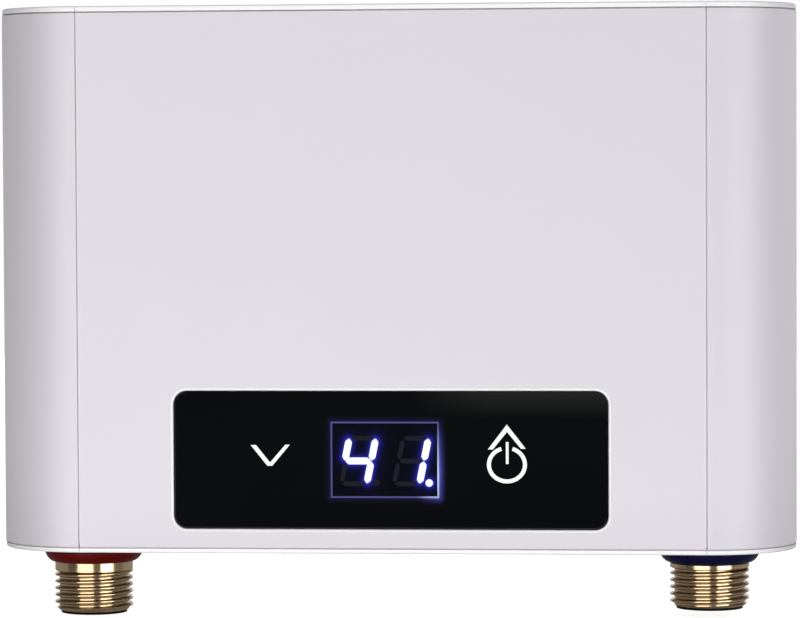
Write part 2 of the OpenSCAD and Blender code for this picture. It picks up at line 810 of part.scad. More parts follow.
module front_panel() {
  color(white_plastic)
  difference() {
    union() {
      translate([seam / 2 - panel_x, front_y, -side_h / 2]) cube([2 * panel_x - seam, panel_t, side_h]);
      for (x = [-1, 1], z = [-1, 1])
        rod_y(x * display_post_x, glass_z + z * display_post_z, front_y + panel_t, display_board_y, post_d);
    }
    translate([0, 0, glass_z]) {
      front_slab(front_y, glass_recess + glass_t)
        rounded_square(glass_w + 2 * glass_gap, glass_h + 2 * glass_gap, glass_r + glass_gap);
      front_slab(front_y, panel_t) rounded_square(glass_w - 2 * ledge_w, glass_h - 2 * ledge_w, glass_r);
      translate([0, front_y, 0])
        chamfer_slab(glass_w + 2 * glass_gap, glass_h + 2 * glass_gap, glass_r + glass_gap, pocket_chamfer);
    }
    for (x = [-1, 1], z = [-1, 1])
      rod_y(x * display_post_x, glass_z + z * display_post_z, display_board_y - board_screw_l + board_t,
        display_board_y, screw_hole_d);
  }
}

// Keyhole outline with its slot running up
module keyhole() {
  circle(d = keyhole_d);
  translate([-keyhole_slot_w / 2, 0]) square([keyhole_slot_w, keyhole_slot_l]);
  translate([0, keyhole_slot_l]) circle(d = keyhole_slot_w);
}

module back_plate() {
  color(white_plastic)
  difference() {
    union() {
      translate([seam / 2 - plate_x, -plate_t, -side_h / 2]) cube([2 * plate_x - seam, plate_t, side_h]);
      for (at = BOARD_POSTS) rod_y(at.x, at.y, board_back, -plate_t, post_d);
    }
    for (side = [-1, 1])
      translate([side * keyhole_pitch / 2, 0, top_z - keyhole_drop]) front_slab(-plate_t, plate_t) keyhole();
    for (side = [-1, 1], row = [-1:1])
      translate([side * plate_screw_x, 0, row * plate_screw_pitch])
        facing_wall() flat_screw_hole(plate_screw_l);
    for (at = FEET) translate([at.x, 0, at.y]) facing_wall() flat_screw_hole(block_screw_l);
    for (at = BOARD_POSTS)
      rod_y(at.x, at.y, board_back, board_back + board_screw_l - board_t + end_gap, screw_hole_d);
  }
}

// Half section of a plate's edge, rounded on top
module edge_section(reach) {
  square([reach, cap_t - cap_round]);
  square([reach - cap_round, cap_t]);
  translate([reach - cap_round, cap_t - cap_round]) circle(r = cap_round);
}

// Plate with the casing's plan outline and a rounded upper edge, standing on z = 0
module cap_plate() {
  corner_y = front_y + corner_r;
  for (side = [0, 1]) mirror([side, 0, 0]) {
    translate([panel_x, corner_y, 0]) rotate([0, 0, -90]) rotate_extrude(angle = 90)
      edge_section(corner_r - cap_inset);
    translate([half_w - rear_r, -rear_r, 0]) rotate_extrude(angle = 90) edge_section(rear_r - cap_inset);
    translate([panel_x, -rear_r, 0]) rotate([90, 0, 0]) linear_extrude(-rear_r - corner_y)
      edge_section(corner_r - cap_inset);
  }
  rotate([90, 0, -90]) translate([0, 0, -panel_x]) linear_extrude(2 * panel_x)
    translate([-corner_y, 0]) edge_section(corner_r - cap_inset);
  rotate([90, 0, 90]) translate([-rear_r, 0, rear_r - half_w]) linear_extrude(body_w - 2 * rear_r)
    edge_section(rear_r - cap_inset);
  translate([-panel_x, corner_y, 0]) cube([2 * panel_x, -rear_r - corner_y, cap_t]);
}

// Cap with its plug, screw holes and the fine marks that carry on the joint lines
module cap() {
  plug_front = front_y + panel_t + lip_t + plug_gap;
  plug_rear = -plate_t - lip_t - plug_gap;
  difference() {
    union() {
      cap_plate();
      translate([0, 0, -plug_t]) linear_extrude(plug_t) intersection() {
        body_outline(shell_t + plug_gap);
        translate([-half_w, plug_front]) square([body_w, plug_rear - plug_front]);
      }
    }
    for (side = [-1, 1], at = CHANNELS)
      translate([side * at.x, at.y, cap_t]) flat_screw_hole(cap_screw_l);
    for (side = [-1, 1])
      translate([side * panel_x - seam / 2, front_y, 0]) cube([seam, 2 * cap_inset, cap_t]);
  }
}

module top_cap() {
  color(white_plastic) translate([0, 0, top_z - cap_t]) cap();
}

module bottom_cap() {
  color(white_plastic)
  difference() {
    translate([0, 0, base_z + cap_t]) mirror([0, 0, 1]) cap();
    for (side = [-1, 1]) translate([side * port_x, port_y, base_z]) {
      cylinder(h = plug_in, d = neck_d + 2 * neck_gap);
      for (ear = [-1, 1])
        translate([ear * fitting_ear, 0, plug_in + fitting_flange_t - fitting_screw_l - end_gap])
          cylinder(h = fitting_screw_l, d = screw_hole_d);
    }
    translate([cable_x, -cable_back, base_z]) cylinder(h = plug_in, d = grommet_d);
  }
}

module cap_screws() {
  color(steel)
  for (end = [0, 1], side = [-1, 1], at = CHANNELS)
    mirror([0, 0, end]) translate([side * at.x, at.y, top_z]) flat_screw(cap_screw_l);
}

module plate_screws() {
  color(steel)
  for (side = [-1, 1], row = [-1:1])
    translate([side * plate_screw_x, 0, row * plate_screw_pitch]) facing_wall() flat_screw(plate_screw_l);
}

// A point of a digit, leaned over
function lean(p) = [p.x + p.y * tan(digit_lean), p.y];

// One segment between two points, with pointed ends
module segment(a, b) {
  along = (b - a) / norm(b - a);
  across = [-along.y, along.x] * segment_w / 2;
  start = a + along * segment_gap / 2;
  stop = b - along * segment_gap / 2;
  shoulder = along * segment_w / 2;
  polygon([
    for (p = [
      start, start + shoulder + across, stop - shoulder + across,
      stop, stop - shoulder - across, start + shoulder - across
    ]) lean(p)
  ]);
}

// Segments and points of both digits that are lit, or those that aren't
module segments(lit) {
  size = [digit_w / 2, digit_h / 2];
  for (digit = [0, 1]) translate([(digit - 0.5) * digit_pitch, -digit_drop]) {
    for (i = [0:6]) {
      ends = SEGMENT_ENDS[i];
      a = [ends[0].x * size.x, ends[0].y * size.y];
      b = [ends[1].x * size.x, ends[1].y * size.y];
      if ((len(search(SEGMENT_NAMES[i], LIT[digit])) > 0) == lit) segment(a, b);
    }
    if (LIT_POINTS[digit] == lit) translate([point_dx, -size.y]) circle(d = point_d);
  }
}

module lit_segments() {
  color(lit_white) translate([window_x, 0, glass_z]) front_slab(glass_y, segment_t) segments(true);
}

module unlit_segments() {
  color(unlit_grey) translate([window_x, 0, glass_z]) front_slab(glass_y, segment_t) segments(false);
}

module led_module() {
  color(part_black)
  translate([window_x, 0, glass_z])
  difference() {
    front_slab(glass_y, module_d) square([module_w, module_h], center = true);
    front_slab(glass_y, segment_t) segments(true);
    front_slab(glass_y, segment_t) segments(false);
  }
}

module led_surround() {
  color(glow_blue) translate([window_x, 0, glass_z]) front_slab(glass_y, glass_t) difference() {
    square([window_w, window_h], center = true);
    square([module_w, module_h], center = true);
  }
}

// Down symbol about its own middle, its strokes cut level at the ends
module down_symbol() {
  side = chevron_w / 2;
  top = chevron_h / 2;
  polygon([
    [-side, top], [chevron_left - side, top], [0, chevron_stroke - top], [side - chevron_right, top],
    [side, top], [chevron_tip / 2, -top], [-chevron_tip / 2, -top]
  ]);
}

// Arrow over the power symbol, from its tip down
module arrow_symbol() {
  side = arrow_w / 2;
  polygon([
    [0, 0], [side, -arrow_h], [side - arrow_end, -arrow_h],
    [0, -arrow_stroke], [arrow_end - side, -arrow_h], [-side, -arrow_h]
  ]);
}

// Open ring of the power symbol
module ring_symbol() {
  opening = ring_icon_r * tan(ring_icon_gap);
  difference() {
    circle(r = ring_icon_r);
    circle(r = ring_icon_r - icon_stroke);
    polygon([[0, 0], [opening, ring_icon_r], [-opening, ring_icon_r]]);
  }
}

// Both key symbols in their places on the glass
module key_symbols() {
  translate([down_key_x, chevron_rise]) down_symbol();
  translate([power_key_x, 0]) {
    translate([0, arrow_rise]) difference() {
      arrow_symbol();
      translate([0, ring_icon_z - arrow_rise]) circle(r = ring_icon_r + icon_gap);
    }
    translate([0, ring_icon_z]) ring_symbol();
    translate([-bar_w / 2, ring_icon_z]) square([bar_w, bar_l]);
  }
}

module touch_icons() {
  color(lit_white) translate([0, 0, glass_z]) front_slab(glass_y, icon_t) key_symbols();
}

module display_glass() {
  color(black_glass)
  translate([0, 0, glass_z])
  difference() {
    front_slab(glass_y, glass_t) rounded_square(glass_w, glass_h, glass_r);
    front_slab(glass_y, glass_t) translate([window_x, 0]) square([window_w, window_h], center = true);
    front_slab(glass_y, icon_t) key_symbols();
  }
}

module display_board() {
  color(board_green)
  translate([0, 0, glass_z])
  difference() {
    translate([-display_board_w / 2, display_board_y, -display_board_h / 2])
      cube([display_board_w, board_t, display_board_h]);
    for (x = [-1, 1], z = [-1, 1])
      rod_y(x * display_post_x, z * display_post_z, display_board_y, display_board_y + board_t, screw_hole_d);
  }
}

module display_board_screws() {
  color(steel)
  for (x = [-1, 1], z = [-1, 1])
    translate([x * display_post_x, display_board_y + board_t, glass_z + z * display_post_z])
      facing_wall() pan_screw(board_screw_l - end_gap);
}

module touch_pads() {
  color(part_black)
  for (x = [down_key_x, power_key_x]) rod_y(x, glass_z, glass_back, display_board_y, pad_d);
}

// Flat ribbon, drawn from the side as a stepped strip and given its width along X
module display_ribbon() {
  start = [display_board_y + board_t, glass_z + ribbon_rise];
  stop = [board_front, board_z + board_h - ribbon_drop];
  step = [0, ribbon_t];
  level = [ribbon_end, 0];
  path = [start, start + level, stop - level, stop];
  color(ribbon_grey)
  translate([ribbon_x - ribbon_w / 2, 0, 0]) rotate([90, 0, 90]) linear_extrude(ribbon_w)
    polygon(concat(path, [for (i = [3:-1:0]) path[i] + step]));
}

// Points of an outside thread cut as rings, from its first crest down
function thread_points(start, n) = [
  for (i = [0:n - 1], p = [
    [thread_r, 0], [thread_r, -thread_flat],
    if (i < n - 1) each [[root_r, -thread_pitch / 2], [root_r, -thread_pitch / 2 - thread_flat]]
  ]) [p.x, p.y + start - i * thread_pitch]
];

// Half section of a fitting: its bore, given from the end up, then its stub, flange, neck and thread
module fitting_section(reach, neck, stub_top, bore) {
  end_z = base_z - reach;
  start = ring_base - neck;
  n = floor((start - end_z - end_chamfer - thread_flat) / thread_pitch) + 1;
  run_out = max(start - (n - 0.5) * thread_pitch, end_z + end_chamfer / 2);
  polygon(concat(
    bore,
    [[stub_r, stub_top], [stub_r, flange_top], [fitting_flange_d / 2, flange_top],
      [fitting_flange_d / 2, floor_z], [neck_d / 2, floor_z], [neck_d / 2, start]],
    thread_points(start, n),
    [[root_r, run_out], [root_r, end_z + end_chamfer / 2], [root_r - end_chamfer, end_z]]
  ));
}

// Ears of a fitting's flange with their screw holes
module flange_ears() {
  translate([0, 0, floor_z]) linear_extrude(fitting_flange_t) difference() {
    union() {
      square([2 * fitting_ear, ear_d], center = true);
      for (ear = [-1, 1]) translate([ear * fitting_ear, 0]) circle(d = ear_d);
    }
    circle(d = neck_d);
    for (ear = [-1, 1]) translate([ear * fitting_ear, 0]) circle(d = screw_hole_d);
  }
}

// Groove cut into a stub from outside, for a seal
module outer_groove(z, r) {
  translate([0, 0, z - seal_room / 2]) difference() {
    cylinder(h = seal_room, r = r + seal_room);
    cylinder(h = seal_room, r = r - seal_room);
  }
}

// Groove cut into a socket from inside, for a seal
module inner_groove(z, r) {
  translate([0, 0, z - seal_room / 2]) cylinder(h = seal_room, r = r + seal_room);
}

module inlet_fitting() {
  step_z = base_z - inlet_reach + strainer_rise + strainer_t + end_gap;
  step_r = water_r - strainer_step;
  color(brass)
  translate([port_x, port_y, 0])
  difference() {
    union() {
      rotate_extrude() fitting_section(inlet_reach, inlet_neck, inlet_stub_top, [
        [water_r, base_z - inlet_reach], [water_r, step_z], [step_r, step_z],
        [step_r, step_z + strainer_step], [water_r, step_z + strainer_step], [water_r, inlet_stub_top]
      ]);
      flange_ears();
    }
    outer_groove(flange_top + inlet_stub_h / 2, stub_r);
  }
}

module outlet_fitting() {
  color(brass)
  translate([-port_x, port_y, 0])
  difference() {
    union() {
      rotate_extrude() fitting_section(outlet_reach, outlet_neck, outlet_stub_top, [
        [water_r, base_z - outlet_reach], [water_r, outlet_stop - stop_h],
        [tube_bore_r, outlet_stop - stop_h], [tube_bore_r, outlet_stop],
        [socket_r, outlet_stop], [socket_r, outlet_stub_top]
      ]);
      flange_ears();
    }
    inner_groove(outlet_stop + socket_h / 2, socket_r - seal_gap);
  }
}

// Colour ring under the casing with a bulging side
module colour_ring() {
  top_r = ring_d / 2;
  step = top_r - ring_low_d / 2;
  bulge_r = (step * step + ring_h * ring_h) / (2 * step);
  translate([0, 0, base_z])
  difference() {
    rotate_extrude() intersection() {
      translate([0, -ring_h]) square([top_r, ring_h]);
      translate([top_r - bulge_r, 0]) circle(r = bulge_r);
    }
    translate([0, 0, -ring_h]) cylinder(h = ring_h, d = neck_d + 2 * neck_gap);
  }
}

module cold_ring() {
  color(ring_blue) translate([port_x, port_y, 0]) colour_ring();
}

module hot_ring() {
  color(ring_red) translate([-port_x, port_y, 0]) colour_ring();
}

module hose_washers() {
  color(rubber_black)
  for (at = [[-port_x, outlet_reach], [port_x, inlet_reach]])
    translate([at.x, port_y, base_z - at.y - washer_t]) difference() {
      cylinder(h = washer_t, d = washer_d);
      cylinder(h = washer_t, d = water_d);
    }
}

module fitting_screws() {
  color(steel)
  for (side = [-1, 1], ear = [-1, 1])
    translate([side * port_x + ear * fitting_ear, port_y, flange_top]) pan_screw(fitting_screw_l);
}

module inlet_strainer() {
  n = ceil(water_d / strainer_pitch / 2);
  hole = strainer_pitch - strainer_bar;
  color(strainer_white)
  translate([port_x, port_y, base_z - inlet_reach + strainer_rise])
  difference() {
    cylinder(h = strainer_t, d = water_d - 2 * socket_gap);
    intersection() {
      union() {
        for (i = [-n:n], j = [-n:n])
          translate([i * strainer_pitch - hole / 2, j * strainer_pitch - hole / 2, 0])
            cube([hole, hole, strainer_t]);
      }
      cylinder(h = strainer_t, d = water_d - 2 * strainer_rim);
    }
  }
}

// Three bars from a hub to a wall, with a hole for the shaft
module spider(reach) {
  difference() {
    union() {
      cylinder(h = spider_h, d = hub_d);
      for (turn = [0, 120, 240])
        rotate([0, 0, turn]) translate([0, -spider_bar / 2, 0]) cube([reach, spider_bar, spider_h]);
    }
    cylinder(h = spider_h, d = shaft_d + 2 * shaft_fit);
  }
}

module flow_sensor_body() {
  color(sensor_ivory)
  translate([port_x, port_y, 0]) {
    difference() {
      union() {
        translate([0, 0, sensor_base]) cylinder(h = spider_top + sensor_stop_h - sensor_base, d = sensor_d);
        translate([0, 0, spider_top]) cylinder(h = sensor_top - spider_top, d = sensor_neck_d);
        translate([-sensor_d / 2 - hall_pad, -hall_w / 2, hall_z - hall_h / 2])
          cube([sensor_d / 2, hall_w, hall_h]);
      }
      translate([0, 0, sensor_base]) cylinder(h = cage_base - sensor_base, r = stub_r + socket_gap);
      translate([0, 0, cage_base]) cylinder(h = spider_h, d = chamber_d + 2 * cage_seat);
      translate([0, 0, chamber_base]) cylinder(h = chamber_h, d = chamber_d);
      translate([0, 0, chamber_top]) cylinder(h = spider_h, r = water_r);
      translate([0, 0, spider_top]) cylinder(h = socket_base - spider_top, r = tube_bore_r);
      translate([0, 0, socket_base]) cylinder(h = socket_h, r = socket_r);
      inner_groove(socket_base + socket_h / 2, socket_r - seal_gap);
    }
    translate([0, 0, chamber_top]) spider(water_r + cage_seat);
  }
}

module rotor_cage() {
  color(sensor_ivory)
  translate([port_x, port_y, cage_base]) {
    difference() {
      cylinder(h = spider_h, d = chamber_d + 2 * cage_seat - 2 * socket_gap);
      cylinder(h = spider_h, r = water_r);
    }
    spider(water_r + cage_seat);
  }
}

module rotor_shaft() {
  color(steel)
  translate([port_x, port_y, cage_base]) cylinder(h = spider_top - cage_base, d = shaft_d);
}

module flow_rotor() {
  blade_mid = rotor_base + blade_h * cos(blade_tilt) / 2 + blade_t;
  color(rotor_blue)
  translate([port_x, port_y, 0])
  difference() {
    union() {
      translate([0, 0, rotor_base]) cylinder(h = rotor_h, d = hub_d);
      intersection() {
        union() {
          for (i = [0:blade_n - 1])
            rotate([0, 0, i * 360 / blade_n]) translate([hub_d / 4, 0, blade_mid]) rotate([blade_tilt, 0, 0])
              translate([0, -blade_t / 2, -blade_h / 2]) cube([rotor_r, blade_t, blade_h]);
        }
        translate([0, 0, rotor_base]) cylinder(h = rotor_h, r = rotor_r);
      }
    }
    translate([0, 0, rotor_base]) cylinder(h = rotor_h, d = shaft_d + 2 * shaft_gap);
  }
}

module rotor_magnet() {
  color(magnet_grey)
  translate([port_x, port_y, rotor_base + rotor_h - magnet_h]) difference() {
    cylinder(h = magnet_h, d = magnet_d);
    cylinder(h = magnet_h, d = hub_d);
  }
}

module hall_sensor() {
  color(part_black)
  translate([hall_face - hall_t, port_y - hall_w / 2, hall_z - hall_h / 2]) cube([hall_t, hall_w, hall_h]);
}

// Ring seal with its middle at a height and a radius
module seal(x, z, r) {
  translate([x, port_y, z]) rotate_extrude() translate([r, 0]) circle(r = seal_r);
}

module seals() {
  color(rubber_black) {
    seal(port_x, flange_top + inlet_stub_h / 2, stub_r - seal_r);
    seal(port_x, socket_base + socket_h / 2, socket_r + seal_r);
    seal(-port_x, outlet_stop + socket_h / 2, socket_r + seal_r);
  }
}

// Bend of the tube in the XZ plane, about a point, from one angle through another
module tube_bend(x, z, bend_r, from, turn, r) {
  translate([x, port_y, z]) rotate([90, 0, 0]) rotate([0, 0, from]) rotate_extrude(angle = turn)
    translate([bend_r, 0]) circle(r = r);
}

// Straight run of the tube along X
module tube_run(x1, x2, z, r) {
  translate([min(x1, x2), port_y, z]) rotate([0, 90, 0]) cylinder(h = abs(x2 - x1), r = r);
}

// The whole water path as a solid bar
module tube_path(r) {
  translate([port_x, port_y, inlet_tube_base])
    cylinder(h = pass_z[0] - tube_bend_r - inlet_tube_base, r = r);
  tube_bend(elbow_x, pass_z[0] - tube_bend_r, tube_bend_r, 0, 90, r);
  tube_run(-bend_x, elbow_x, pass_z[0], r);
  tube_bend(-bend_x, (pass_z[0] + pass_z[1]) / 2, tube_pitch / 2, 90, 180, r);
  tube_run(-bend_x, bend_x, pass_z[1], r);
  tube_bend(bend_x, (pass_z[1] + pass_z[2]) / 2, tube_pitch / 2, -90, 180, r);
  tube_run(-elbow_x, bend_x, pass_z[2], r);
  tube_bend(-elbow_x, pass_z[2] - tube_bend_r, tube_bend_r, 90, 90, r);
  translate([-port_x, port_y, outlet_tube_base])
    cylinder(h = pass_z[2] - tube_bend_r - outlet_tube_base, r = r);
}

module water_tube() {
  color(steel)
  difference() {
    tube_path(tube_r);
    tube_path(tube_bore_r);
  }
}

// One element as a solid bar bent into a U
module element_bar(x, d) {
  for (leg = [-1, 1])
    translate([x + leg * element_pitch / 2, element_y, element_base])
      cylinder(h = element_bend_z - element_base, d = d);
  translate([x, element_y, element_bend_z]) rotate([90, 0, 0]) rotate_extrude(angle = 180)
    translate([element_pitch / 2, 0]) circle(d = d);
}

module heating_block() {
  color(aluminium)
  difference() {
    union() {
      translate([0, 0, block_mid]) front_slab(block_front, block_rear - block_front)
        rounded_square(block_w, block_h, block_r);
      for (side = [-1, 1], i = [0:rib_n - 1])
        translate([side * (block_w / 2 - rib_inset - i * rib_pitch), block_front - rib_h, block_z + block_r])
          translate([-rib_t / 2, 0, 0]) cube([rib_t, rib_h + tube_cover / 2, block_h - 2 * block_r]);
      for (at = FEET) rod_y(at.x, at.y, element_y, -plate_t, foot_d);
    }
    tube_path(tube_r + cast_gap);
    for (side = [-1, 1]) element_bar(side * element_x, element_d + 2 * cast_gap);
    for (at = FEET) rod_y(at.x, at.y, -block_screw_l - end_gap, -plate_t, screw_hole_d);
    for (side = [-1, 1])
      rod_y(side * cutout_pitch / 2, cutout_z, block_front, block_front + board_screw_l, screw_hole_d);
  }
}

module heating_elements() {
  color(element_grey)
  for (side = [-1, 1]) element_bar(side * element_x, element_d);
}

module element_terminals() {
  color(ceramic_white)
  for (side = [-1, 1], leg = [-1, 1])
    translate([side * element_x + leg * element_pitch / 2, element_y, pin_base]) {
      cylinder(h = pin_l, d = pin_d);
      translate([0, 0, pin_l]) cylinder(h = bead_h, d = element_d);
    }
}

module block_screws() {
  color(steel)
  for (at = FEET) translate([at.x, 0, at.y]) facing_wall() flat_screw(block_screw_l);
}

module thermal_cutout() {
  bore_l = button_l - button_out + button_travel + end_gap;
  color(cutout_brown)
  difference() {
    union() {
      rod_y(0, cutout_z, cutout_y, block_front - cutout_flange_t, cutout_d);
      translate([-cutout_flange_w / 2, block_front - cutout_flange_t, cutout_z - cutout_flange_h / 2])
        cube([cutout_flange_w, cutout_flange_t, cutout_flange_h]);
    }
    rod_y(0, cutout_z, cutout_y, cutout_y + bore_l, button_d + 2 * button_gap);
    for (side = [-1, 1])
      rod_y(side * cutout_pitch / 2, cutout_z, block_front - cutout_flange_t, block_front, screw_hole_d);
  }
}

module reset_button() {
  color(signal_red) rod_y(0, cutout_z, cutout_y - button_out, cutout_y - button_out + button_l, button_d);
}

module cutout_screws() {
  color(steel)
  for (side = [-1, 1])
    translate([side * cutout_pitch / 2, block_front - cutout_flange_t, cutout_z])
      facing_front() pan_screw(board_screw_l);
}

module temperature_probe() {
  color(brass) translate([probe_x, port_y, probe_z - probe_l / 2]) cylinder(h = probe_l, d = probe_d);
}

// Spring clip that runs round the outlet tube and the probe
module probe_clip() {
  color(steel)
  translate([0, port_y, probe_z - clip_h / 2]) linear_extrude(clip_h) difference() {
    union() {
      translate([-port_x, 0]) circle(r = socket_r + clip_t);
      translate([probe_x, 0]) circle(d = probe_d + 2 * (socket_gap + clip_t));
    }
    translate([-port_x, 0]) circle(r = socket_r);
    translate([probe_x, 0]) circle(d = probe_d + 2 * socket_gap);
    translate([-port_x, -clip_mouth / 2]) square([probe_x + port_x, clip_mouth]);
  }
}

module triac_clamp() {
  color(aluminium)
  difference() {
    translate([port_x - clamp_w / 2, clamp_front, clamp_z]) cube([clamp_w, clamp_d, clamp_h]);
    translate([port_x, port_y, clamp_z]) cylinder(h = clamp_h, r = socket_r);
    translate([port_x - clamp_slot / 2, port_y, clamp_z]) cube([clamp_slot, clamp_d, clamp_h]);
    rod_y(port_x, clamp_screw_z, clamp_front, clamp_front + clamp_hole_l, screw_hole_d);
  }
}

module triac() {
  color(part_black)
  difference() {
    union() {
      translate([port_x - triac_w / 2, clamp_front - triac_t, triac_z - triac_h / 2])
        cube([triac_w, triac_t, triac_h]);
      for (leg = [-1:1])
        translate([port_x + leg * triac_pitch - triac_leg_w / 2, triac_leg_y - triac_leg_t / 2, triac_end])
          cube([triac_leg_w, triac_leg_t, triac_leg]);
    }
    rod_y(port_x, clamp_screw_z, clamp_front - triac_t, clamp_front, screw_hole_d);
  }
}

module clamp_screw() {
  color(steel)
  translate([port_x, clamp_front - triac_t, clamp_screw_z])
    facing_front() pan_screw(triac_t + clamp_hole_l - end_gap);
}

module control_board() {
  color(board_green)
  difference() {
    translate([-board_w / 2, board_front, board_z]) cube([board_w, board_t, board_h]);
    for (at = BOARD_POSTS) rod_y(at.x, at.y, board_front, board_back, screw_hole_d);
  }
}

module board_screws() {
  color(steel)
  for (at = BOARD_POSTS) translate([at.x, board_front, at.y]) facing_front() pan_screw(board_screw_l);
}

// Box on the front of the control board, with its lower left corner at a place on the board
module on_board(x, z, size) {
  translate([x, board_front - size.y, board_z + z]) cube(size);
}

module relay() {
  color(relay_blue) on_board(-board_w / 2 + relay_x, relay_rise, [relay_w, relay_d, relay_h]);
}

module power_module() {
  color(part_black) on_board(supply_x, supply_rise, [supply_w, supply_d, supply_h]);
}

module capacitors() {
  color(can_black)
  for (i = [0, 1])
    rod_y(can_x - board_w / 2 + i * (can_d + can_gap), board_z + can_rise,
      board_front - can_l, board_front, can_d);
}

module control_chip() {
  color(part_black)
  on_board(supply_x + (supply_w - chip_w) / 2, supply_rise + supply_h + chip_gap, [chip_w, chip_t, chip_w]);
}

module terminal_block() {
  color(ceramic_white)
  difference() {
    on_board(terminal_x, supply_rise, [terminal_w, terminal_d, terminal_h]);
    for (i = [-1:1]) {
      translate([cable_x + i * terminal_pitch, board_front - terminal_d / 2, board_z + supply_rise])
        cylinder(h = terminal_h / 2, d = terminal_bore);
      rod_y(cable_x + i * terminal_pitch, terminal_z, board_front - terminal_d, board_front - terminal_d / 2,
        head_d + 2 * screw_gap);
    }
  }
}

module terminal_screws() {
  l = terminal_d / 2 - head_h;
  color(brass)
  for (i = [-1:1])
    translate([cable_x + i * terminal_pitch, board_front - terminal_d / 2 - l, terminal_z])
      facing_front() difference() {
        translate([0, 0, -l]) cylinder(h = l, d = head_d);
        cross_recess();
      }
}

// Leads from the element terminals down and back to the control board
module heater_leads() {
  bend_r = board_front - element_y;
  color(signal_red)
  for (side = [-1, 1], leg = [-1, 1])
    translate([side * element_x + leg * element_pitch / 2, element_y, lead_z]) {
      translate([0, 0, bend_r]) cylinder(h = lead_drop - bend_r, d = lead_d);
      translate([0, bend_r, bend_r]) rotate([90, 0, 90]) rotate([0, 0, 180]) rotate_extrude(angle = 90)
        translate([bend_r, 0]) circle(d = lead_d);
    }
}

// Thin lead through a row of points
module lead(points) {
  for (i = [0:len(points) - 2]) {
    run = points[i + 1] - points[i];
    tilt = acos(run.z / norm(run));
    translate(points[i]) rotate([0, tilt, atan2(run.y, run.x)]) cylinder(h = norm(run), d = sensor_lead_d);
    if (i > 0) translate(points[i]) sphere(d = sensor_lead_d);
  }
}

// Leads of the hall sensor, the temperature probe and the power switch, each ending on the control board
module sensor_leads() {
  edge_x = board_w / 2 - lead_inset;
  hall_x = board_w / 2 - hall_lead_inset;
  probe_end = probe_z - probe_l / 2;
  turn_z = relay_top + probe_lead_rise;
  color(lead_grey) {
    lead([[hall_face - hall_t, port_y, hall_z], [hall_x, port_y, hall_z], [hall_x, board_front, hall_z]]);
    lead([[probe_x, port_y, probe_end], [probe_x, port_y, turn_z],
      [-edge_x, port_y, turn_z], [-edge_x, board_front, turn_z]]);
    for (leg = [-1:1]) {
      x = port_x + leg * triac_pitch;
      z = triac_end - (leg + 2) * lead_pitch;
      lead([[x, triac_leg_y, triac_end], [x, triac_leg_y, z],
        [edge_x, triac_leg_y, z], [edge_x, board_front, z]]);
    }
  }
}

module cable_grommet() {
  groove_r = grommet_d / 2 - grommet_gap;
  lip_r = grommet_lip_d / 2;
  color(rubber_black)
  translate([cable_x, -cable_back, 0]) rotate_extrude() polygon([
    [cable_d / 2, base_z - grommet_lip_t], [lip_r - grommet_lip_t / 2, base_z - grommet_lip_t],
    [lip_r, base_z], [groove_r, base_z], [groove_r, floor_z], [lip_r, floor_z],
    [lip_r, floor_z + grommet_lip_t], [cable_d / 2, floor_z + grommet_lip_t]
  ]);
}

left_side_shell();
right_side_shell();
front_panel();
back_plate();
top_cap();
bottom_cap();
cap_screws();
plate_screws();
display_glass();
touch_icons();
led_surround();
led_module();
lit_segments();
unlit_segments();
display_board();
display_board_screws();
touch_pads();
display_ribbon();
inlet_fitting();
outlet_fitting();
cold_ring();
hot_ring();
hose_washers();
fitting_screws();
inlet_strainer();
flow_sensor_body();
rotor_cage();
rotor_shaft();
flow_rotor();
rotor_magnet();
hall_sensor();
seals();
water_tube();
heating_block();
heating_elements();
element_terminals();
block_screws();
thermal_cutout();
reset_button();
cutout_screws();
temperature_probe();
probe_clip();
triac_clamp();
triac();
clamp_screw();
control_board();
board_screws();
relay();
power_module();
capacitors();
control_chip();
terminal_block();
terminal_screws();
heater_leads();
sensor_leads();
cable_grommet();
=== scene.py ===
from math import ceil, cos, exp, hypot, radians, sin, tan

import bmesh
import bpy
from mathutils import Matrix, Vector


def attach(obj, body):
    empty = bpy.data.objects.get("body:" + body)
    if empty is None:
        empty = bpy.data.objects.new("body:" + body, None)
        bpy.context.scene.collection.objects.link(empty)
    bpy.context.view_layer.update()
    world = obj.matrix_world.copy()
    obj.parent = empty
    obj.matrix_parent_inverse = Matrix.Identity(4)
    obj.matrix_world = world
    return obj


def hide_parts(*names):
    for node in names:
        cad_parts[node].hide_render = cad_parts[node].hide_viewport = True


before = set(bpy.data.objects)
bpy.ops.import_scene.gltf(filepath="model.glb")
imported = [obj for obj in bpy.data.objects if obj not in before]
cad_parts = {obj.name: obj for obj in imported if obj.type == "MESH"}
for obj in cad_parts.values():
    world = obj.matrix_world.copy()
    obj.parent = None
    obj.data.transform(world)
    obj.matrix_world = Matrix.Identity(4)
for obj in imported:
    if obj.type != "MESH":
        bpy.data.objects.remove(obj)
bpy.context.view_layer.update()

# Back plate: the flat rear wall of the casing, which hangs on two wall screws by its keyholes.
# White moulded ABS, 2.5 mm thick, with four posts behind the control board and countersunk screw holes.
mm = 0.001


def shown(red, green, blue):
    """A colour as it looks on a screen, turned into the light that a shader works with."""
    light = [((c / 255 + 0.055) / 1.055) ** 2.4 if c > 10 else c / 255 / 12.92 for c in (red, green, blue)]
    return (*light, 1.0)


def new_finish(name):
    """An empty finish with its node tree and its shader."""
    made = bpy.data.materials.new(name)
    made.use_nodes = True
    return made, made.node_tree, made.node_tree.nodes["Principled BSDF"]


